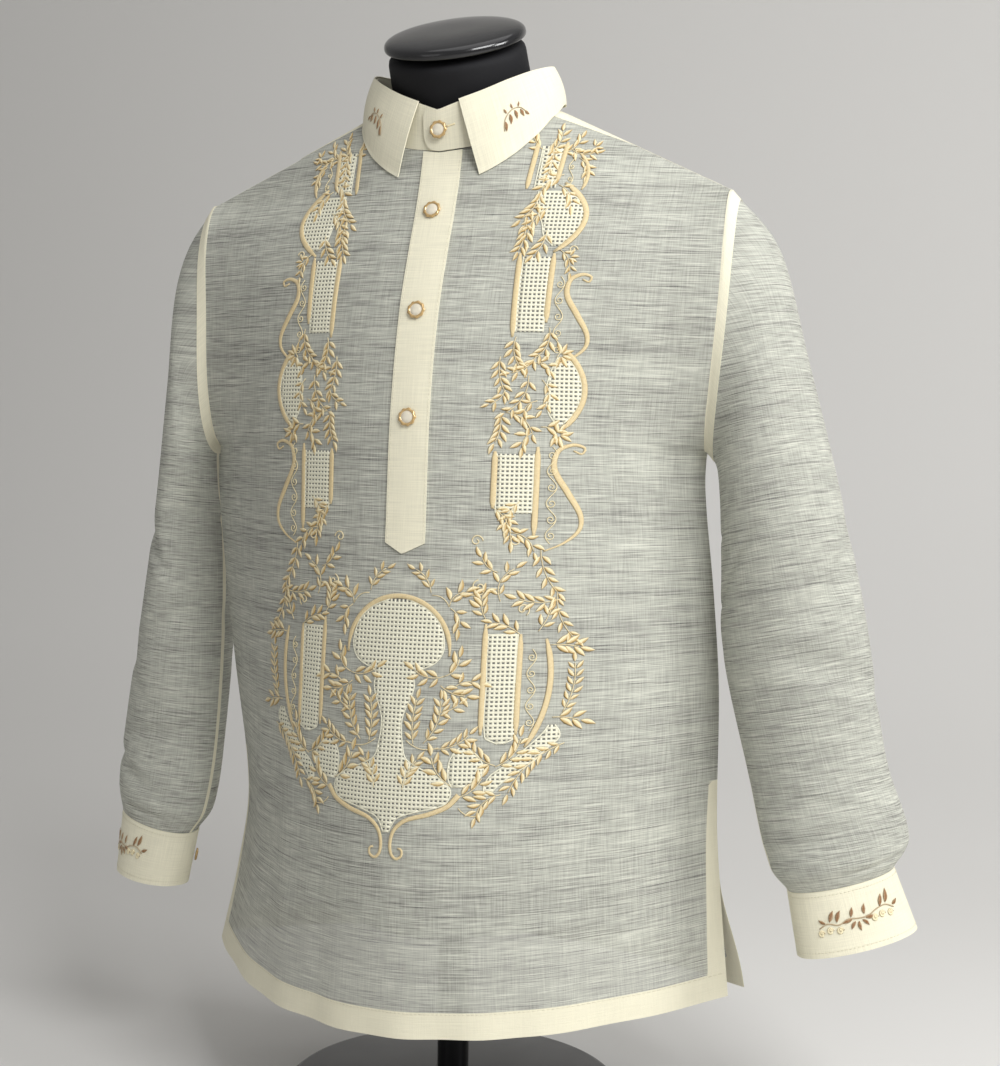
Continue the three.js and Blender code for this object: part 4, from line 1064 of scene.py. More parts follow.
# Drawn-thread grounds of the chest panel, right half: edges at each height
CALADO = {
    "narrow": ("z lo hi", [(687, 82, 98), (705, 83, 100), (724, 84, 102)]),
    "half_moon": ("z lo hi", [
        (637, 104, 112), (645, 96, 121), (656, 93, 127), (667, 88, 126), (677, 86, 119), (684, 86, 108)]),
    "upper_window": ("z lo hi", [(566, 81, 102), (600, 81, 104), (628, 82, 105)]),
    "oval": ("z lo hi", [(493, 113, 119), (502, 108, 127), (518, 106, 132), (534, 109, 129), (546, 114, 121)]),
    "middle_window": ("z lo hi", [(420, 72, 99), (445, 72, 99), (468, 72, 100)]),
    "lower_window": ("z lo hi", [(237, 82, 86), (242, 73, 94), (290, 72, 93), (324, 70, 93)]),
    "band": ("z lo hi", [
        (197, 74, 78), (204, 74, 84), (212, 78, 93), (222, 91, 107), (232, 101, 116), (240, 109, 124),
        (246, 114, 124), (251, 117, 121)]),
    "lens": ("z lo hi", [
        (203, 51, 60), (208, 48, 69), (216, 47, 73), (224, 48, 71), (230, 51, 66), (234, 55, 60)]),
}
# The lamp-shaped ground in the middle, by its half width at each height
LAMP = ("z half", [
    (166, 2.5), (172, 5), (178, 10), (183, 24), (188, 43), (194, 49), (201, 49.5), (207, 45),
    (212, 37), (218, 24), (224, 14), (234, 10.5), (252, 8.5), (262, 10.5), (270, 14), (280, 17),
    (293, 17.5), (297, 27), (301, 33.5), (308, 38), (316, 39), (326, 37), (336, 31.5), (344, 22), (350, 8),
])

# Satin bars, right half: ends, bow and width
BARS = table("x0 z0 x1 z1 bend width", [
    (80, 729, 76, 686, 0, 5.0), (103, 728, 99, 692, 0, 5.0), (114, 718, 119, 686, 6, 3.6),
    (106, 692, 105, 632, 21, 5.6), (79, 631, 79, 562, 0, 5.6), (106, 631, 104, 574, 0, 5.6),
    (119, 553, 117, 487, 16, 5.4), (70.5, 470, 70, 424, 0, 5.6), (101.5, 474, 100.5, 402, 0, 5.6),
    (69.5, 332, 69.5, 244, 0, 5.2), (95, 324, 94.5, 244, 0, 5.2), (113, 320, 101, 234, 9, 5.2),
])
# Long scrolls with a curl at the head, right half: head and foot heights, place and reach
SCROLLS = table("x top bottom reach", [(125, 613, 541, 8.5), (121, 475, 390, 10)])
SCROLL_LINE = table("at across", [
    (0.045, 0.55), (0.075, 1.15), (0.02, 1.35), (-0.01, 0.55), (0.05, -0.5), (0.22, -0.75), (0.45, 0.25),
    (0.66, 1.15), (0.8, 1.1), (0.92, 0.1), (1.0, -1.3),
])
# Arch over the lamp
ARCH_HEIGHT = 309
ARCH_RADIUS = 43.5
ARCH_WIDTH = 4.8
# Scroll under the lamp, right half
FOOT_SCROLL = [
    (56, 197), (48, 188), (34, 181.5), (16, 176), (7, 168), (4, 158), (5, 149), (9, 145), (13.5, 147.5),
    (13.5, 152.5), (10.5, 153.5),
]
CHAINS = table("x top bottom count size", [
    (113, 612, 546, 5, 5.4), (112, 474, 396, 6, 6.0), (103.5, 312, 247, 5, 5.2), (109, 722, 690, 3, 3.6),
])
CURLS = table("x z size angle hand", [
    (64, 398, 5, 0, 1), (62, 367, 5.6, 100, 1), (98, 339, 5.2, -60, 1), (124, 634, 3.6, 0, 1),
    (86, 402, 4.2, 120, 1),
])
# Leafy sprays, right half: ends, bow, pairs of leaves and length of a leaf
VINES = table("x0 z0 x1 z1 bend pairs size", [
    (84, 721, 75, 735, 2, 3, 8), (88, 716, 97, 737, -3, 4, 8), (99, 718, 112, 731, -3, 4, 8),
    (106, 722, 125, 719, -3, 3, 8), (91, 726, 91, 700, 2, 4, 8), (114, 714, 121, 699, 3, 3, 7),
    (104, 699, 88, 684, -3, 4, 9), (101, 690, 113, 673, 3, 3, 9), (88, 684, 76, 660, 3, 5, 9),
    (97, 670, 83, 642, -5, 5, 9), (80, 658, 77, 633, 2, 4, 9), (98, 650, 90, 630, 2, 3, 9),
    (110, 634, 119, 616, 3, 3, 7), (107, 570, 97, 545, 4, 4, 8.5), (82, 562, 86, 538, -3, 4, 9),
    (98, 547, 80, 533, 3, 3, 8.5), (97, 541, 108, 536, 3, 2, 8.5), (71, 546, 75, 519, -2, 4, 8.5),
    (93, 531, 77, 501, 5, 4, 8.5), (76, 519, 65, 508, 2, 2, 8), (103, 528, 104, 504, 5, 3, 8.5),
    (73, 501, 70, 477, 2, 4, 9), (78, 501, 97, 485, 4, 3, 8.5), (100, 511, 90, 499, -3, 2, 8),
    (97, 485, 90, 474, -2, 2, 9), (103, 490, 115, 482, 3, 2, 9),
    (90, 430, 80, 408, -3, 4, 8), (70, 425, 84, 399, 4, 5, 9), (84, 405, 101, 390, 4, 4, 9),
    (106, 391, 119, 357, -3, 4, 9), (119, 357, 132, 320, -4, 4, 8), (122, 352, 92, 352, 3, 4, 9.5),
    (79, 350, 88, 376, 6, 3, 9), (76, 373, 64, 384, 2, 2, 9), (69, 336, 66, 355, 2, 3, 9.5),
    (95, 323, 75, 333, -2, 4, 9.5), (107, 326, 115, 344, -1, 2, 9), (26, 356, 13, 374, -3, 3, 8),
    (41, 345, 27, 354, -3, 0, 7), (41, 345, 52, 357, 3, 3, 10), (52, 357, 66, 356, -2, 1, 9),
    (42, 344, 49, 329, 3, 2, 9),
    (126, 261, 133, 300, -3, 6, 8), (116, 315, 135, 313, 1, 3, 10.5), (119, 257, 137, 254, 1, 3, 10.5),
    (40, 290, 51, 304, -3, 3, 10.5), (40, 290, 17, 294, 3, 3, 10), (38, 283, 57, 275, -2, 3, 10),
    (48, 281, 66, 285, 3, 2, 9.5), (19, 236, 20, 271, 2, 6, 9), (27, 237, 39, 271, -4, 5, 9),
    (36, 262, 52, 268, -2, 2, 8.5), (37, 233, 61, 244, -3, 4, 9), (13, 239, 39, 234, -4, 0, 6),
    (12, 200, 22, 223, 2, 4, 9), (50, 204, 34, 226, 3, 4, 11), (54, 195, 72, 210, -3, 4, 10.5),
    (81, 219, 98, 241, -4, 5, 9.5), (81, 220, 64, 233, 2, 3, 9), (128, 236, 91, 198, -6, 9, 9),
    (86, 197, 69, 180, -4, 4, 9), (56, 187, 69, 180, -2, 0, 6),
])
ROSETTES = table("x z angle spread count size", [
    (116, 548, 0, 210, 6, 9.5), (116, 484, -10, 220, 6, 9.5), (124, 724, 20, 160, 4, 7),
    (118, 628, 0, 120, 3, 7),
])
# Collar spray: an arched stem with leaves that hang from it
COLLAR_STEM = [(-11, -8), (-9, -1), (-4, 4), (2, 5.5), (8, 3.5), (12, -2)]
COLLAR_LEAVES = table("x z angle size", [
    (-8, 0, -98, 8), (-3, 4, -96, 9), (2, 5, -88, 8.5), (7, 3.5, -76, 8), (11, 0, -62, 6.5),
    (-5, 4, 110, 4.5), (1, 5.5, 95, 4.5), (6, 4.5, 66, 4.5),
])
# Cuff spray: a waving stem, leaves above it and berries below
CUFF_STEM = [(-33, -3), (-25, 0), (-16, -2), (-8, 1), (0, 0), (8, 0), (16, 3), (25, 4), (33, 0)]
CUFF_LEAVES = table("x z angle size", [
    (-24, 0, 60, 8), (-18, -1, 62, 8.5), (-26, 0, 150, 6), (-6, 1, 70, 6.5), (-4, 0, 190, 7), (4, 0, -10, 7),
    (5, 1, 75, 6.5),
    (19, 3, 65, 8), (25, 4, 68, 9), (31, 2, 20, 6), (0, -1, -90, 6.5), (-2, -1, -130, 6), (2, -1, -50, 6),
])
CUFF_BERRIES = table("x z", [(-32, -7), (-24, -5.5), (-16, -6.5), (13, -3), (20, -2), (28, -3)])


def window_edges(columns, rows, mirror):
    """Foot and head of one window of drawn work, and its two edges at any height."""
    edge = table(columns, rows)

    def edges(z):
        if "half" in edge:
            half = along(edge, "z", "half", z)
            return -half, half
        lo, hi = along(edge, "z", "lo", z), along(edge, "z", "hi", z)
        return (lo, hi) if mirror > 0 else (-hi, -lo)

    return edge["z"][0], edge["z"][-1], edges


def calado_ground(work, window, pitch):
    """Crossed bundles of thread over one window, cut off at its edges."""
    low, high, edges = window
    for z in np.arange(math.ceil(low / pitch) * pitch, high, pitch):
        lo, hi = edges(np.array(z))
        if hi - lo > 2.5:
            count = max(3, int((hi - lo) / 4) + 1)
            line = np.stack([np.linspace(lo, hi, count), np.full(count, z)], axis=1)
            work.strip(line, pitch * 0.68, 0.28, CORD, 0.0, 0.2)
    fine = np.linspace(low, high, int((high - low) / 1.5) + 2)
    lo, hi = edges(fine)
    for side in (lo, hi):
        work.strip(np.stack([side, fine], axis=1), 1.3, 0.34, CORD, 0.0, 0.2)
    for x in np.arange(math.ceil(lo.min() / pitch) * pitch, hi.max(), pitch):
        inside = (lo < x) & (x < hi)
        starts = np.flatnonzero(np.diff(np.concatenate([[0], inside.astype(int), [0]])))
        for first, end in starts.reshape(-1, 2):
            if end - first > 2:
                count = max(3, int((end - first) * 1.5 / 4))
                z = np.linspace(fine[first], fine[end - 1], count)
                work.strip(np.stack([np.full_like(z, x), z], axis=1), pitch * 0.56, 0.25, CORD, 0.0, 0.17)


def calado_holes(name, window, finish):
    """A dark sheet under the drawn threads of one window: painted shade where its holes are."""
    low, high, edges = window
    z = np.linspace(low, high, 40)
    lo, hi = edges(z)
    x = lo[:, None] + (hi - lo)[:, None] * np.linspace(0, 1, 14)
    height = np.broadcast_to(z[:, None], x.shape)
    grid = front_place(x.ravel(), height.ravel()).reshape(*x.shape, 3)
    weave = np.stack([x, height], axis=-1)
    return shell(name, grid, GROUND_THICK, finish, weave, facing=-1, lift=GROUND_LIFT)


# What a user would change
def metres(name, description, default, low, high):
    """A length that a user may change."""
    return FloatProperty(name=name, description=description, default=default, min=low, max=high,
                         unit="LENGTH", precision=4)


def share_of(name, description, default):
    """A share from 0 to 1."""
    return FloatProperty(name=name, description=description, default=default, min=0, max=1, subtype="FACTOR")


def color_of(name, description, default):
    """A colour."""
    return FloatVectorProperty(name=name, description=description, default=default, size=3, min=0, max=1,
                               subtype="COLOR")


def power_of(name, description, default):
    """A light's power."""
    return FloatProperty(name=name, description=description, default=default, min=0, unit="POWER")


class ClothSettings(bpy.types.PropertyGroup):
    """Sizes and colours of the shirt's cloth."""
    thickness: metres("Thickness", "Thickness of one layer of the cloth", 0.00035, 0.0001, 0.001)
    doubled: metres("Doubled thickness", "Thickness of the collar, cuffs and placket", 0.0011, 0.0004, 0.0014)
    cover: share_of("Cover", "How much one face of the sheer cloth hides", 0.8)
    slub: share_of("Slub", "How strongly the uneven threads show", 0.6)
    pale: color_of("Pale threads", "Colour of the thick threads", (0.71, 0.72, 0.63))
    # Painted shade: the grey that stands for the dark seen through the open weave, not a colour of the threads
    see_through_shade: color_of("Open threads", "Colour where the weave is open", (0.25, 0.247, 0.23))
    cream: color_of("Doubled cloth", "Colour of the cloth where it lies double", (0.86, 0.82, 0.64))


class NeedleworkSettings(bpy.types.PropertyGroup):
    """Sizes and colours of the embroidery and drawn work."""
    pitch: metres("Thread pitch", "Distance between the bundles of drawn threads", 0.0034, 0.002, 0.006)
    # On the leaves the pale silk is painted light and the deep silk painted shade; the deep silk, halved, is
    # also the painted shade in the grooves of the satin
    pale: color_of("Pale silk", "Light side of the leaves", (0.95, 0.85, 0.56))
    deep: color_of("Deep silk", "Dark side of the leaves", (0.50, 0.32, 0.10))
    brown: color_of("Brown silk", "Leaves on the collar and cuffs", (0.26, 0.11, 0.03))


class ButtonSettings(bpy.types.PropertyGroup):
    """Sizes and colours of the buttons."""
    front: metres("Front button", "Radius of a front button", 0.0074, 0.005, 0.009)
    cuff: metres("Cuff button", "Radius of a cuff button", 0.0056, 0.004, 0.007)
    rim: color_of("Rim", "Gilt of the scalloped rim", (0.62, 0.42, 0.18))
    pearl: color_of("Pearl", "Middle of the button", (0.80, 0.74, 0.60))


class StandSettings(bpy.types.PropertyGroup):
    """Colours of the form and its stand."""
    cover: color_of("Cover", "Stretch cover of the torso", (0.006, 0.006, 0.007))
    lacquer: color_of("Lacquer", "Neck cap, pole and base", (0.008, 0.008, 0.009))


class RoomSettings(bpy.types.PropertyGroup):
    """The studio round the piece."""
    floor: color_of("Floor", "Colour of the floor", (0.72, 0.71, 0.69))
    key: power_of("Main light", "Power of the main light", 37)
    fill: power_of("Second light", "Power of the light opposite, to which the others keep their share", 5)
    sky: share_of("Room light", "Strength of the light from all round", 0.3)


GROUPS = {
    "barong_cloth": ClothSettings, "barong_needlework": NeedleworkSettings,
    "barong_button": ButtonSettings, "barong_stand": StandSettings, "barong_room": RoomSettings,
}
MADE = {}


def finish_named(name):
    """A finish of the shirt, made once."""
    if name in MADE:
        return MADE[name]
    scene = bpy.context.scene
    cloth, work = scene.barong_cloth, scene.barong_needlework
    button, stand = scene.barong_button, scene.barong_stand
    pale, see_through_shade, cream = tuple(cloth.pale), tuple(cloth.see_through_shade), tuple(cloth.cream)
    silk, lacquer = tuple(work.pale), tuple(stand.lacquer)
    makers = {
        "sheer": lambda: cloth_finish(name, pale, see_through_shade, cream, cloth.cover, cloth.slub),
        "doubled": lambda: doubled_finish(name, cream, toned(cream, 0.82)),
        "silk": lambda: satin_finish(name, silk, tuple(work.deep)),
        "brown_silk": lambda: satin_finish(name, silk, tuple(work.brown)),
        "drawn_threads": lambda: lattice_finish(name, (0.84, 0.82, 0.66), (0.60, 0.58, 0.46)),
        # Painted shade: a dark sheet that stands for the shade seen through the holes of the drawn work
        "hole_shade": lambda: lattice_finish(name, (0.16, 0.165, 0.16), (0.095, 0.098, 0.095)),
        "sewing": lambda: lattice_finish(name, (0.80, 0.76, 0.60), (0.55, 0.51, 0.38)),
        "pearl": lambda: shell_button_finish(name, tuple(button.rim), tuple(button.pearl)),
        "cover": lambda: cover_finish(name, tuple(stand.cover), 0.25),
        "cap": lambda: gloss_finish(name, lacquer, 0.1, 0.0),
        "lacquer": lambda: gloss_finish(name, lacquer, 0.3, 0.6),
        "floor": lambda: floor_finish(name, tuple(scene.barong_room.floor)),
    }
    MADE[name] = makers[name]()
    return MADE[name]


def layer(kind="thickness"):
    """Thickness of the single or doubled cloth in millimetres."""
    return getattr(bpy.context.scene.barong_cloth, kind) * 1000


def sheer_wall(name, grid, weave, marks, *nodes, facing=None, **resting):
    """A wall of the single see-through cloth, hung on the form. marks are where it is doubled over."""
    piece = shell(name, grid, layer(), finish_named("sheer"), weave, marks, facing=facing)
    dress(piece, "sheer_cloth", *nodes, **resting)


def doubled_wall(name, grid, weave, node, shape, **resting):
    """A wall of doubled cloth. shape says its thickness, lift and way, where they aren't the usual ones."""
    thickness = shape.pop("thickness", None) or layer("doubled")
    piece = shell(name, grid, thickness, finish_named("doubled"), weave, 1.0, **shape)
    dress(piece, "doubled_cloth", node, **resting)


def sewn(work, name, surface, finish, slot="doubled_cloth"):
    """Lays needlework on a surface, and fits it in the frame."""
    fit(work.build(name, surface, finish_named(finish)), slot)


def shares_across(count):
    """Columns of a body panel, with a close pair at each slit facing."""
    facing = 1 - FACING_WIDTH / TIP_HALF
    pair = np.array([facing - 0.002, facing + 0.002])
    return np.unique(np.concatenate([np.linspace(-1, 1, count), -pair, pair]))


def panel_marks(share, z):
    """Millimetres inside the folded edges of a body panel: its hem and both sides of its slits."""
    facing = mix(FACING_WIDTH, 6, np.clip(z / SLIT_TOP, 0, 1)) - (1 - np.abs(share)) * TIP_HALF
    return np.clip(np.maximum(HEM_WIDTH - z, np.minimum(facing, SLIT_TOP + 8 - z)), -9, 9)


class PieceOperator(bpy.types.Operator):
    """What the operators of all the pieces share."""
    bl_options = {"REGISTER", "UNDO"}


class BARONG_OT_front(PieceOperator):
    """Front of the shirt, from its hem up to the neckline and the yoke"""
    bl_idname = "barong.front"
    bl_label = "Front"

    def execute(self, context):
        shares = shares_across(150)
        hem = HEM_WIDTH / NECK_FRONT_HEIGHT
        v = np.unique(np.concatenate([np.linspace(0, 1, 190), [hem - 0.0008, hem + 0.0008]]))[:, None]
        share = np.broadcast_to(shares, (len(v), len(shares)))
        z = top_height(share, -1) * v * (1 - yoke_forward(share))
        grid = body_at(share, z, -1)
        weave = np.stack([share * TIP_HALF, z], axis=-1)
        sheer_wall("front_cloth", grid, weave, panel_marks(share, z),
                   "front", "front_hem", "front_left_facing", "front_right_facing", facing=-1)
        return {"FINISHED"}


class BARONG_OT_back(PieceOperator):
    """Back of the shirt, and the yoke over the shoulders"""
    bl_idname = "barong.back"
    bl_label = "Back and yoke"

    def execute(self, context):
        shares = shares_across(120)
        v = np.linspace(0, 1, 150)[:, None]
        share = np.broadcast_to(shares, (len(v), len(shares)))
        top = top_height(share, 1)
        z = np.maximum(top * v * yoke_end(share), BACK_HEM + v)
        weave = np.stack([share * TIP_HALF + BACK_ON_BOLT, z], axis=-1)
        grid = body_at(share, z, 1)
        sheer_wall("back_cloth", grid, weave, panel_marks(share, z - BACK_HEM),
                   "back", "back_hem", "back_left_facing", "back_right_facing", facing=1)
        steps = np.concatenate([np.linspace(-1, 0, 6)[:-1], np.linspace(0, 1, 30)])[:, None]
        forward = 1 - np.maximum(0, -steps * yoke_forward(shares))
        down = mix(1, yoke_end(shares), np.maximum(0, steps))
        front = body_at(shares, top_height(shares, -1) * forward, -1)
        behind = body_at(shares, top_height(shares, 1) * down, 1)
        grid = np.where(((steps < 0) & (yoke_forward(shares) > 0))[..., None], front, behind)
        weave = np.stack(np.broadcast_arrays(shares * TIP_HALF, -steps * 70), axis=-1)
        doubled_wall("yoke_cloth", grid, weave, "yoke", YOKE_WALL | {"facing": 1})
        return {"FINISHED"}


def even_band(grid, rows):
    """Points of a grid at even lengths from its first row, so that a band keeps its width."""
    steps = np.linalg.norm(np.diff(grid, axis=0), axis=-1)
    gone = np.concatenate([np.zeros((1, grid.shape[1])), np.cumsum(steps, axis=0)])
    lines = [[np.interp(rows, gone[:, k], grid[:, k, i]) for i in range(3)] for k in range(grid.shape[1])]
    return np.array(lines).transpose(2, 0, 1)


class BARONG_OT_sleeves(PieceOperator):
    """Both sleeves with the felled band along each armhole"""
    bl_idname = "barong.sleeves"
    bl_label = "Sleeves"

    def execute(self, context):
        rounds = np.radians(np.linspace(180, 540, 97))
        steps = np.linspace(0, 1, 150)
        for side, name in ((-1, "left"), (1, "right")):
            grid = sleeve_grid(side, rounds, steps)
            across = np.broadcast_to(np.degrees(rounds) - 360, grid.shape[:2])
            arm = grid[-1].mean(axis=0) - grid[30].mean(axis=0)
            arm /= np.linalg.norm(arm)
            on_bolt = SLEEVE_ON_BOLT + side * SLEEVE_APART
            weave = np.stack([across * 1.02 + on_bolt, grid @ arm * -1.0], axis=-1)
            sheer_wall(f"{name}_sleeve_cloth", grid, weave, np.abs(across) - SLEEVE_SEAM_AT,
                       f"{name}_sleeve", rests_on=(f"{name}_cuff",))
            ring = np.radians(np.linspace(0, 360, ARMHOLE_POINTS + 1))[:-1]
            band = even_band(sleeve_grid(side, ring, np.linspace(0, 0.2, 60)), ARMHOLE_ROWS)
            band[0] = band[1] - (side * 1.6, 0, 0)
            around, width = np.linspace(0, 460, ARMHOLE_POINTS), np.linspace(0, ARMHOLE_BAND, len(ARMHOLE_ROWS))
            weave = np.stack(np.meshgrid(around, width), axis=-1)
            shape = ARMHOLE_WALL | {"closed": True}
            doubled_wall(f"{name}_armhole_cloth", band, weave, f"{name}_armhole_band", shape)
        return {"FINISHED"}


class BARONG_OT_cuffs(PieceOperator):
    """Both cuffs, each lapped over its own start"""
    bl_idname = "barong.cuffs"
    bl_label = "Cuffs"

    def execute(self, context):
        turns = np.linspace(CUFF_LAP_AT, CUFF_LAP_AT + 360 + CUFF_LAP, 120)
        past = np.clip((turns - CUFF_LAP_AT - 360 + CUFF_LAP) / CUFF_LAP, 0, 1)
        steps = np.concatenate([[0], np.linspace(0.02, 0.98, 12), [1]])
        for side, name in ((-1, "left"), (1, "right")):
            grid = cuff_grid(side, np.radians(turns), steps)
            centre = grid[:, :100].mean(axis=1, keepdims=True)
            outward = grid - centre
            outward[..., 2] = 0
            outward /= np.linalg.norm(outward, axis=-1, keepdims=True)
            grid = grid + outward * (past * (DOUBLED + SEAM_GAP * 2))[None, :, None]
            weave = np.stack(np.meshgrid(turns * 0.8, steps * -50), axis=-1)
            doubled_wall(f"{name}_cuff_cloth", grid, weave, f"{name}_cuff", {"lift": CUFF_LIFT},
                         rests_on=(f"{name}_sleeve",))
        return {"FINISHED"}


class BARONG_OT_collar(PieceOperator):
    """Collar stand and the fall with its two points"""
    bl_idname = "barong.collar"
    bl_label = "Collar"

    def execute(self, context):
        turns = np.concatenate([[-10, -9.6, -8.8, -7.4, -5.5], np.linspace(-3, UNDERLAP_END, 150)])
        at = np.linspace(0, 1, 14)[:, None]
        short = np.maximum(0, 1 - (turns - LAP_END) / 6)
        tall = np.sqrt(1 - short * short * 0.8)
        grid = stand_point(turns[None], 0.5 + (at - 0.5) * tall)
        angle = np.radians(turns)
        out = np.stack([np.sin(angle), -np.cos(angle), np.zeros_like(angle)], axis=-1)
        grid = grid + out * lap_rise(turns)[:, None]
        weave = np.stack(np.broadcast_arrays(turns * 1.3, at * 38), axis=-1)
        doubled_wall("collar_stand_cloth", grid, weave, "collar_stand", {})
        turns = np.linspace(LEAF_START, 360 - LEAF_START, 170)
        grid = fall_point(turns[None], np.linspace(0, 1, 24)[:, None])
        down = np.linspace(0, FALL_DEPTH, 24)[:, None]
        weave = np.stack(np.broadcast_arrays(turns * FALL_TURN, down), axis=-1)
        doubled_wall("collar_fall_cloth", grid, weave, "collar_fall", {"lift": FALL_LIFT}, held="folded")
        return {"FINISHED"}


class BARONG_OT_placket(PieceOperator):
    """Half placket with its pointed end"""
    bl_idname = "barong.placket"
    bl_label = "Placket"

    def execute(self, context):
        left, right = PLACKET_EDGES
        share = np.linspace(-left, right, 13)
        side = np.where(share < 0, left, right)
        low = PLACKET_BOTTOM + PLACKET_POINT * np.abs(share) / side
        z = mix(low, top_height(share, -1) - 1, np.linspace(0, 1, 110)[:, None])
        grid = body_at(share[None], z, -1)
        weave = np.stack(np.broadcast_arrays(share * TIP_HALF, z), axis=-1)[..., ::-1]
        shape = PLACKET_WALL | {"facing": -1}
        doubled_wall("placket_cloth", grid, weave, "placket", shape, rests_on=("front",))
        return {"FINISHED"}


class BARONG_OT_embroidery(PieceOperator):
    """Chest panel: satin bars, scrolls, leafy sprays and tendrils, the same on both sides"""
    bl_idname = "barong.embroidery"
    bl_label = "Chest embroidery"

    def execute(self, context):
        surface = laid_on(front_place, CHEST_STEP)
        for mirror, name in ((-1, "left"), (1, "right")):
            work = Needlework(seed=7)
            for bar in rows_of(BARS):
                width = bar.pop("width")
                work.bar(curve(**bar, count=22), width)
            for s in rows_of(SCROLLS):
                line = np.stack([s["x"] + SCROLL_LINE["across"] * s["reach"],
                                 mix(s["top"], s["bottom"], SCROLL_LINE["at"])], axis=1)
                path = through(line, 2.0)
                t = np.linspace(0, 1, len(path))
                work.strip(path, 1.3 + 3.6 * np.sin(np.pi * np.clip(t * 1.05, 0, 1)) ** 1.2, 0.65, SATIN, 0.5)
            for rows, make in ((CHAINS, work.chain), (CURLS, work.curl), (VINES, work.vine),
                               (ROSETTES, work.rosette)):
                for row in rows_of(rows):
                    make(**row)
            work.flat = [flat * (mirror, 1) for flat in work.flat]
            if mirror < 0:
                work.faces = [face[::-1] for face in work.faces]
            sewn(work, f"{name}_chest_embroidery", surface, "silk")
        work = Needlework(seed=3)
        arc = np.radians(np.linspace(-4, 184, 46))
        arch = np.stack([ARCH_RADIUS * np.cos(arc), ARCH_HEIGHT + ARCH_RADIUS * np.sin(arc)], axis=1)
        work.bar(arch, ARCH_WIDTH)
        for hand in (-1, 1):
            path = through([(x * hand, z) for x, z in FOOT_SCROLL], 2.0)
            work.strip(path, 1.6 + 2.9 * np.linspace(1, 0, len(path)) ** 0.7, 0.8, SATIN, 0.5)
        sewn(work, "middle_embroidery", surface, "silk")
        return {"FINISHED"}


class BARONG_OT_drawn_work(PieceOperator):
    """Drawn-thread windows of the chest panel"""
    bl_idname = "barong.drawn_work"
    bl_label = "Drawn work"

    def execute(self, context):
        scene = context.scene
        surface = laid_on(front_place, CHEST_STEP)
        pitch = scene.barong_needlework.pitch * 1000
        work = Needlework(seed=5)
        windows = [("lamp", window_edges(*LAMP, 1))]
        for name, window in CALADO.items():
            for side, mirror in (("left", -1), ("right", 1)):
                windows.append((f"{name}_{side}", window_edges(*window, mirror)))
        for name, window in windows:
            calado_ground(work, window, pitch)
            # Painted shade: a dark sheet behind the threads of each window
            ground = calado_holes(f"{name}_ground", window, finish_named("hole_shade"))
            dress(ground, "sheer_cloth", held="laid", rests_on=("front",))
        sewn(work, "drawn_threads", surface, "drawn_threads", "sheer_cloth")
        return {"FINISHED"}


class BARONG_OT_sprays(PieceOperator):
    """Small sprays on the collar points and the cuffs"""
    bl_idname = "barong.sprays"
    bl_label = "Collar and cuff sprays"

    def execute(self, context):
        seats = [
            ("collar_right_spray", fall_place(40, 0.52), 1, (0, FOLD_MIDDLE)),
            ("collar_left_spray", fall_place(320, 0.5), -1, (0, FOLD_MIDDLE)),
        ]
        for side, name, round_at in ((1, "right", 90), (-1, "left", 66)):
            ring = CUFF_RINGS[side]
            middle = (side * ring["x"], ring["y"])
            seats.append((f"{name}_cuff_spray", cuff_place(side, round_at, 0.5), side, middle))
        for name, place, mirror, middle in seats:
            work = Needlework(seed=11, halves=(0.6, 0.9, 1.0, 0.85, 0.6))
            if "collar" in name:
                work.thread(through([(x * mirror, z) for x, z in COLLAR_STEM], 2.0), 0.8, 0.4, 0.6)
                for leaf in rows_of(COLLAR_LEAVES):
                    turn = leaf["angle"] if mirror > 0 else 180 - leaf["angle"]
                    work.leaf(leaf["x"] * mirror, leaf["z"], math.radians(turn), leaf["size"])
                work.lift = [lift + FALL_LIFT for lift in work.lift]
            else:
                work.thread(through(CUFF_STEM, 2.0), 0.9, 0.45, 0.6)
                for leaf in rows_of(CUFF_LEAVES):
                    work.leaf(leaf["x"], leaf["z"], math.radians(leaf["angle"]), leaf["size"] * 1.2)
                for berry in rows_of(CUFF_BERRIES):
                    work.curl(berry["x"] + 2.4, berry["z"], 2.4, 0, 1, 1.6, 0.0, 1.9)
                    work.curl(berry["x"] + 3.1, berry["z"], 3.1, 0, 1, 0.5, 0.8, 0.6)
            seat = place(np.zeros(1), np.zeros(1))[0]
            sewn(work, name, laid_facing(place, seat[:2] - middle), "brown_silk")
        return {"FINISHED"}


def stitch_row(work, path, length=2.2, groove_shade=1.1, lift=0.0):
    """Running stitches along a flat line."""
    places = np.concatenate([[0], np.cumsum(np.linalg.norm(np.diff(path, axis=0), axis=1))])
    for start in np.arange(0, places[-1] - length, length + groove_shade):
        ends = smooth_along(places, path, np.array([start, start + length / 2, start + length]))
        work.strip(ends, 0.45, 0.22, CORD, 0.2, base=lift)


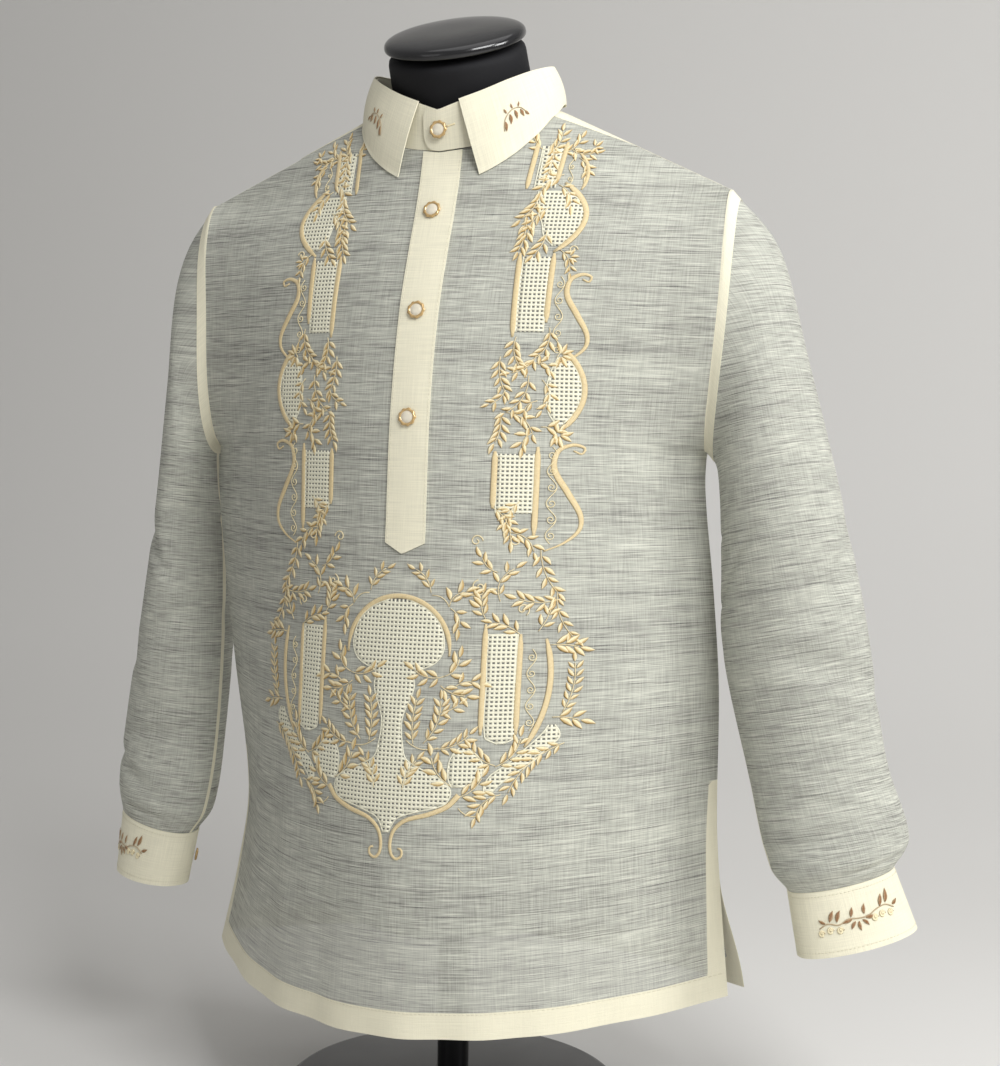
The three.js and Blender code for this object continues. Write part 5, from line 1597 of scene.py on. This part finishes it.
class BARONG_OT_sewing(PieceOperator):
    """Rows of stitches on the placket, hem, collar and cuffs"""
    bl_idname = "barong.sewing"
    bl_label = "Sewing"

    def execute(self, context):
        work = Needlework(seed=13)
        left, right = PLACKET_EDGES
        z = np.linspace(PLACKET_BOTTOM + PLACKET_POINT, 712, 60)
        for share, inside in ((-left, 1.6), (right, -1.6)):
            x = share * half_width(np.full_like(z, share), z) + inside
            stitch_row(work, np.stack([x, z], axis=1), lift=1.33)
        share = np.linspace(-0.99, 0.99, 200)
        hem = np.full_like(share, HEM_WIDTH - 1.5)
        stitch_row(work, np.stack([share * half_width(share, hem), hem], axis=1), lift=0.03)
        sewn(work, "front_sewing", laid_on(front_place, CHEST_STEP), "sewing")
        work = Needlework(seed=14)
        turns = np.linspace(17, 343, 260)
        path = np.stack([turns * FALL_TURN, np.full_like(turns, FALL_DEPTH - 3.0)], axis=1)
        stitch_row(work, path, lift=FALL_LIFT)
        sewn(work, "collar_sewing", laid_on(fall_edge_place, SMALL_STEP), "sewing")
        for side, name in ((-1, "left"), (1, "right")):
            work = Needlework(seed=15)
            for at in (21, -21):
                s = np.linspace(-95, 95, 120)
                stitch_row(work, np.stack([s, np.full_like(s, at)], axis=1), lift=-0.05)
            surface = laid_facing(cuff_place(side, 90, 0.5), np.array([0, -1]))
            sewn(work, f"{name}_cuff_sewing", surface, "sewing")
        return {"FINISHED"}


BUTTON_LINE = table("share rise gilt", [
    (0.0, 0.2, 0), (0.6, 0.2, 0), (0.96, 0.5, 1), (1.0, 1.1, 1), (1.0, 1.7, 1), (0.93, 2.3, 1), (0.84, 2.6, 1),
    (0.76, 2.5, 1), (0.7, 1.9, 1), (0.66, 1.75, 0), (0.5, 2.3, 0), (0.3, 2.6, 0), (0.0, 2.65, 0),
])


def make_button(name, node, place, normal, radius):
    """A button: gilt scalloped rim round a pearly middle cut in facets, on its cloth."""
    up = normal / np.linalg.norm(normal)
    side = np.cross((0, 0, 1), up)
    side /= np.linalg.norm(side)
    over = np.cross(up, side)
    turns = np.linspace(0, 2 * math.pi, FACETS + 1)[:-1]
    rings, tones, runs = [], [], []
    for row in rows_of(BUTTON_LINE):
        scallop = 1 + 0.05 * np.cos(turns * 9) * (row["share"] > 0.9)
        facet = 1 + 0.06 * np.abs(np.sin(turns * 4)) * (0.2 < row["share"] < 0.6)
        reach = radius * row["share"] * scallop * facet
        flat = np.cos(turns)[:, None] * side + np.sin(turns)[:, None] * over
        rings.append(place + up * row["rise"] + flat * np.maximum(reach, 0.02)[:, None])
        tones.append(np.full(FACETS, float(row["gilt"])))
        runs.append(flat * row["share"] * radius / 1000)
    tags = {"tone": np.concatenate(tones), "run": np.concatenate(runs)}
    faces = capped_rings(len(rings), FACETS)
    piece = make_object(name, np.concatenate(rings), faces, finish_named("pearl"), tags, sharp=40)
    fit(piece, "button_shell", node)


def collar_place(s, t):
    """Collar stand, from millimetres round it and up it at its button."""
    turn = np.degrees(s / STAND_RADIUS)
    point = stand_point(turn, np.clip(STAND_BUTTON_AT + t / STAND_DEPTH, 0, 1))
    return point - np.stack([0 * s, lap_rise(turn), 0 * s], axis=-1)


class BARONG_OT_buttons(PieceOperator):
    """Four front buttons and one on each cuff"""
    bl_idname = "barong.buttons"
    bl_label = "Buttons"

    def execute(self, context):
        scene = context.scene
        sizes = scene.barong_button
        surface = laid_on(front_place, CHEST_STEP)
        work = Needlework(seed=17)
        work.strip(curve(7.5, 0.6, 15, 0.9, 0, 6), 1.5, 0.45, SATIN, 0.1, 0.1)
        sewn(work, "collar_buttonhole", laid_on(collar_place, SMALL_STEP), "silk")
        for i, height in enumerate(BUTTON_HEIGHTS, 1):
            if i == 1:
                turns, at = np.zeros(1), np.full(1, STAND_BUTTON_AT)
                point = stand_point(turns, at)[0] + (0, -lap_rise(np.zeros(1))[0], 0)
                normal = np.array([0, -1, 0.05])
            else:
                point, normal = (found[0] for found in surface(np.array([[0.0, height]])))
                point = point + normal * DOUBLED
            make_button(f"front_button_{i}", f"button_{i}", point, normal, sizes.front * 1000)
        for side, name in ((-1, "left"), (1, "right")):
            low, high = (np.array(v) * 1000 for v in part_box(f"{name}_cuff_button"))
            middle = (low + high) / 2 - (0, 0, HEM_HEIGHT)
            place = cuff_place(side, CUFF_LAP_AT + CUFF_LAP * 0.45, 0.5)
            seat, normal = (found[0] for found in laid_on(place, SMALL_STEP)(np.zeros((1, 2))))
            if normal @ (middle - seat) < 0:
                normal = -normal
            point = middle - normal * CUFF_BUTTON_SINK
            make_button(f"{name}_cuff_pearl", f"{name}_cuff_button", point, normal, sizes.cuff * 1000)
        return {"FINISHED"}


# Outlines of the pole and the base, as radius and height above the floor
POLE_TOP = HEM_HEIGHT + FORM_BOTTOM - SEAM_GAP
POLE_LINE = [
    (13.4, BASE_THICK + 0.1), (POLE_RADIUS, BASE_THICK + 0.8), (POLE_RADIUS, POLE_TOP - 12), (17, POLE_TOP - 7),
    (32, POLE_TOP - 6), (34, POLE_TOP - 5), (34, POLE_TOP - 0.8), (33.2, POLE_TOP),
]
BASE_LINE = [
    (BASE_RADIUS - 1.4, 0), (BASE_RADIUS - 0.3, 0.6), (BASE_RADIUS, 2), (BASE_RADIUS, 9),
    (BASE_RADIUS - 1, 11.6), (BASE_RADIUS - 3, 13.2), (BASE_RADIUS - 6, BASE_THICK), (30, BASE_THICK),
]
COVER_INSET = 0.0018


def smoothed_copy(name, node, finish, inset=0.0):
    """A rounder copy of one solid of the form, set in by a little in metres."""
    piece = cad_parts[node].copy()
    piece.data = piece.data.copy()
    piece.name = name
    bpy.context.scene.collection.objects.link(piece)
    made = bmesh.new()
    made.from_mesh(piece.data)
    bmesh.ops.remove_doubles(made, verts=made.verts, dist=1e-5)
    bmesh.ops.join_triangles(made, faces=made.faces, angle_face_threshold=0.7, angle_shape_threshold=0.7)
    made.to_mesh(piece.data)
    made.free()
    piece.modifiers.clear()
    rounder = piece.modifiers.new("rounder", "SUBSURF")
    rounder.levels = rounder.render_levels = 2
    bpy.context.view_layer.update()
    shaped = bpy.data.meshes.new_from_object(piece.evaluated_get(bpy.context.evaluated_depsgraph_get()))
    piece.modifiers.clear()
    piece.data = shaped
    lower = [v.co - v.normal * inset for v in shaped.vertices]
    shaped.vertices.foreach_set("co", np.array(lower).ravel())
    shaped.materials.clear()
    shaped.materials.append(finish)
    shaped.shade_smooth()
    return piece


def turned_piece(name, profile, sides, finish):
    """A turned part of the stand from radii and heights in millimetres above the floor."""
    turns = np.linspace(0, 2 * math.pi, sides + 1)[:-1]
    flat = np.stack([np.cos(turns), np.sin(turns)], axis=-1)
    rings = [np.column_stack([r * flat, np.full(sides, z - HEM_HEIGHT)]) for r, z in profile]
    return make_object(name, np.concatenate(rings), capped_rings(len(rings), sides), finish, sharp=35)


class BARONG_OT_form(PieceOperator):
    """Limbless torso with its neck cap, pole and round base"""
    bl_idname = "barong.form"
    bl_label = "Dress form"

    def execute(self, context):
        torso = smoothed_copy("torso_cover", "form_torso", finish_named("cover"), COVER_INSET)
        fit(torso, "form_cover", "form_torso")
        cap = smoothed_copy("neck_cap_lacquer", "neck_cap", finish_named("cap"))
        fit(cap, "form_cap", "neck_cap")
        fit(turned_piece("pole_lacquer", POLE_LINE, 64, finish_named("lacquer")), "stand_pole", "pole")
        fit(turned_piece("base_lacquer", BASE_LINE, 128, finish_named("lacquer")), "stand_base", "base")
        return {"FINISHED"}


# The photo's view: place in metres, turn, tilt and roll in degrees, and lens
CAMERA_PLACE = (0.5025, -1.4160, 0.5856)
CAMERA_TURN = (18.217, 2.984, 0.921)
CAMERA_LENS = 57.52
CAMERA_SENSOR = 36
# The floor's sweep, as distance back and height in metres
SWEEP = [(-1.0, 0), (0, 0), (0.6, 0.02), (1.1, 0.16), (1.45, 0.5), (1.6, 1.1), (1.62, 3.4)]
FLOOR_WIDTH = 9000
FLOOR_FRONT = -4000
FLOOR_SHIFT = 500
FLOOR_SPACING = 60
ROOM_COLOR = (1.0, 0.99, 0.97)
# Lights: place in metres, setting of the room and share of it, size, and the point each looks at
LIGHTS = [
    ("main_light", (1.35, -1.25, 1.95), "key", 1, 1.0, (0.1, 0, 0.7)),
    ("side_light", (2.4, -0.4, 1.6), "fill", 7, 0.9, (0.35, 0, 0.65)),
    ("second_light", (-1.2, -2.6, 1.2), "fill", 1, 1.6, (0, 0, 0.5)),
    ("top_light", (0.2, -0.2, 2.6), "fill", 1.2, 1.5, (0, 0, 0.5)),
]


class BARONG_OT_studio(PieceOperator):
    """Pale floor, soft lights and the camera"""
    bl_idname = "barong.studio"
    bl_label = "Studio"

    def execute(self, context):
        scene = context.scene
        room = scene.barong_room
        line = through([(d * 1000, h * 1000) for d, h in SWEEP], FLOOR_SPACING)
        across = np.linspace(-FLOOR_WIDTH / 2, FLOOR_WIDTH / 2, 9)
        grids = np.broadcast_arrays(across, line[:, :1] + FLOOR_SHIFT, line[:, 1:] - HEM_HEIGHT)
        points = np.stack(grids, axis=-1)
        points[0, :, 1] = FLOOR_FRONT
        faces = grid_faces(*points.shape[:2], False).tolist()
        make_object("floor", points.reshape(-1, 3), faces, finish_named("floor"))
        for name, place, setting, share, size, target in LIGHTS:
            light = bpy.data.lights.new(name, "AREA")
            light.energy, light.size = getattr(room, setting) * share, size
            lamp = bpy.data.objects.new(name, light)
            scene.collection.objects.link(lamp)
            lamp.location = place
            lamp.rotation_euler = (Vector(place) - Vector(target)).to_track_quat("Z", "Y").to_euler()
        scene.view_settings.view_transform = "Standard"
        scene.world = bpy.data.worlds.new("room")
        scene.world.use_nodes = True
        ground = scene.world.node_tree.nodes["Background"]
        ground.inputs["Color"].default_value = (*ROOM_COLOR, 1)
        ground.inputs["Strength"].default_value = room.sky
        turn, pitch, roll = (math.radians(v) for v in CAMERA_TURN)
        back = np.array([math.sin(turn) * math.cos(pitch), -math.cos(turn) * math.cos(pitch), math.sin(pitch)])
        right = np.array([math.cos(turn), math.sin(turn), 0.0])
        up = np.cross(back, right)
        across = right * math.cos(roll) + up * math.sin(roll)
        tall = -right * math.sin(roll) + up * math.cos(roll)
        view = bpy.data.cameras.new("photo_view")
        view.lens, view.sensor_width, view.sensor_fit = CAMERA_LENS, CAMERA_SENSOR, "AUTO"
        camera = bpy.data.objects.new("photo_view", view)
        scene.collection.objects.link(camera)
        columns = [(*axis, 0) for axis in (across, tall, back)] + [(*CAMERA_PLACE, 1)]
        camera.matrix_world = Matrix(columns).transposed()
        scene.camera = camera
        return {"FINISHED"}


OPERATORS = (
    BARONG_OT_front, BARONG_OT_back, BARONG_OT_sleeves, BARONG_OT_cuffs, BARONG_OT_collar,
    BARONG_OT_placket, BARONG_OT_drawn_work, BARONG_OT_embroidery, BARONG_OT_sprays, BARONG_OT_sewing,
    BARONG_OT_buttons, BARONG_OT_form, BARONG_OT_studio,
)


class BARONG_PT_pieces(bpy.types.Panel):
    """Pieces of the shirt and its settings"""
    bl_idname = "BARONG_PT_pieces"
    bl_label = "Barong"
    bl_space_type = "VIEW_3D"
    bl_region_type = "UI"
    bl_category = "Barong"

    def draw(self, context):
        for operator in OPERATORS:
            self.layout.operator(operator.bl_idname)
        for group in GROUPS:
            box = self.layout.box()
            settings = getattr(context.scene, group)
            for name in settings.__annotations__:
                box.prop(settings, name)


CLASSES = (*GROUPS.values(), *OPERATORS, BARONG_PT_pieces)


def register():
    """Adds the settings, operators and panel."""
    for made in CLASSES:
        bpy.utils.register_class(made)
    for name, group in GROUPS.items():
        setattr(bpy.types.Scene, name, PointerProperty(type=group))


def unregister():
    """Takes them out again."""
    for name in GROUPS:
        delattr(bpy.types.Scene, name)
    for made in reversed(CLASSES):
        bpy.utils.unregister_class(made)


def main():
    """Makes every piece in order."""
    register()
    for operator in OPERATORS:
        group, name = operator.bl_idname.split(".")
        getattr(getattr(bpy.ops, group), name)()


if __name__ == "__main__":
    main()
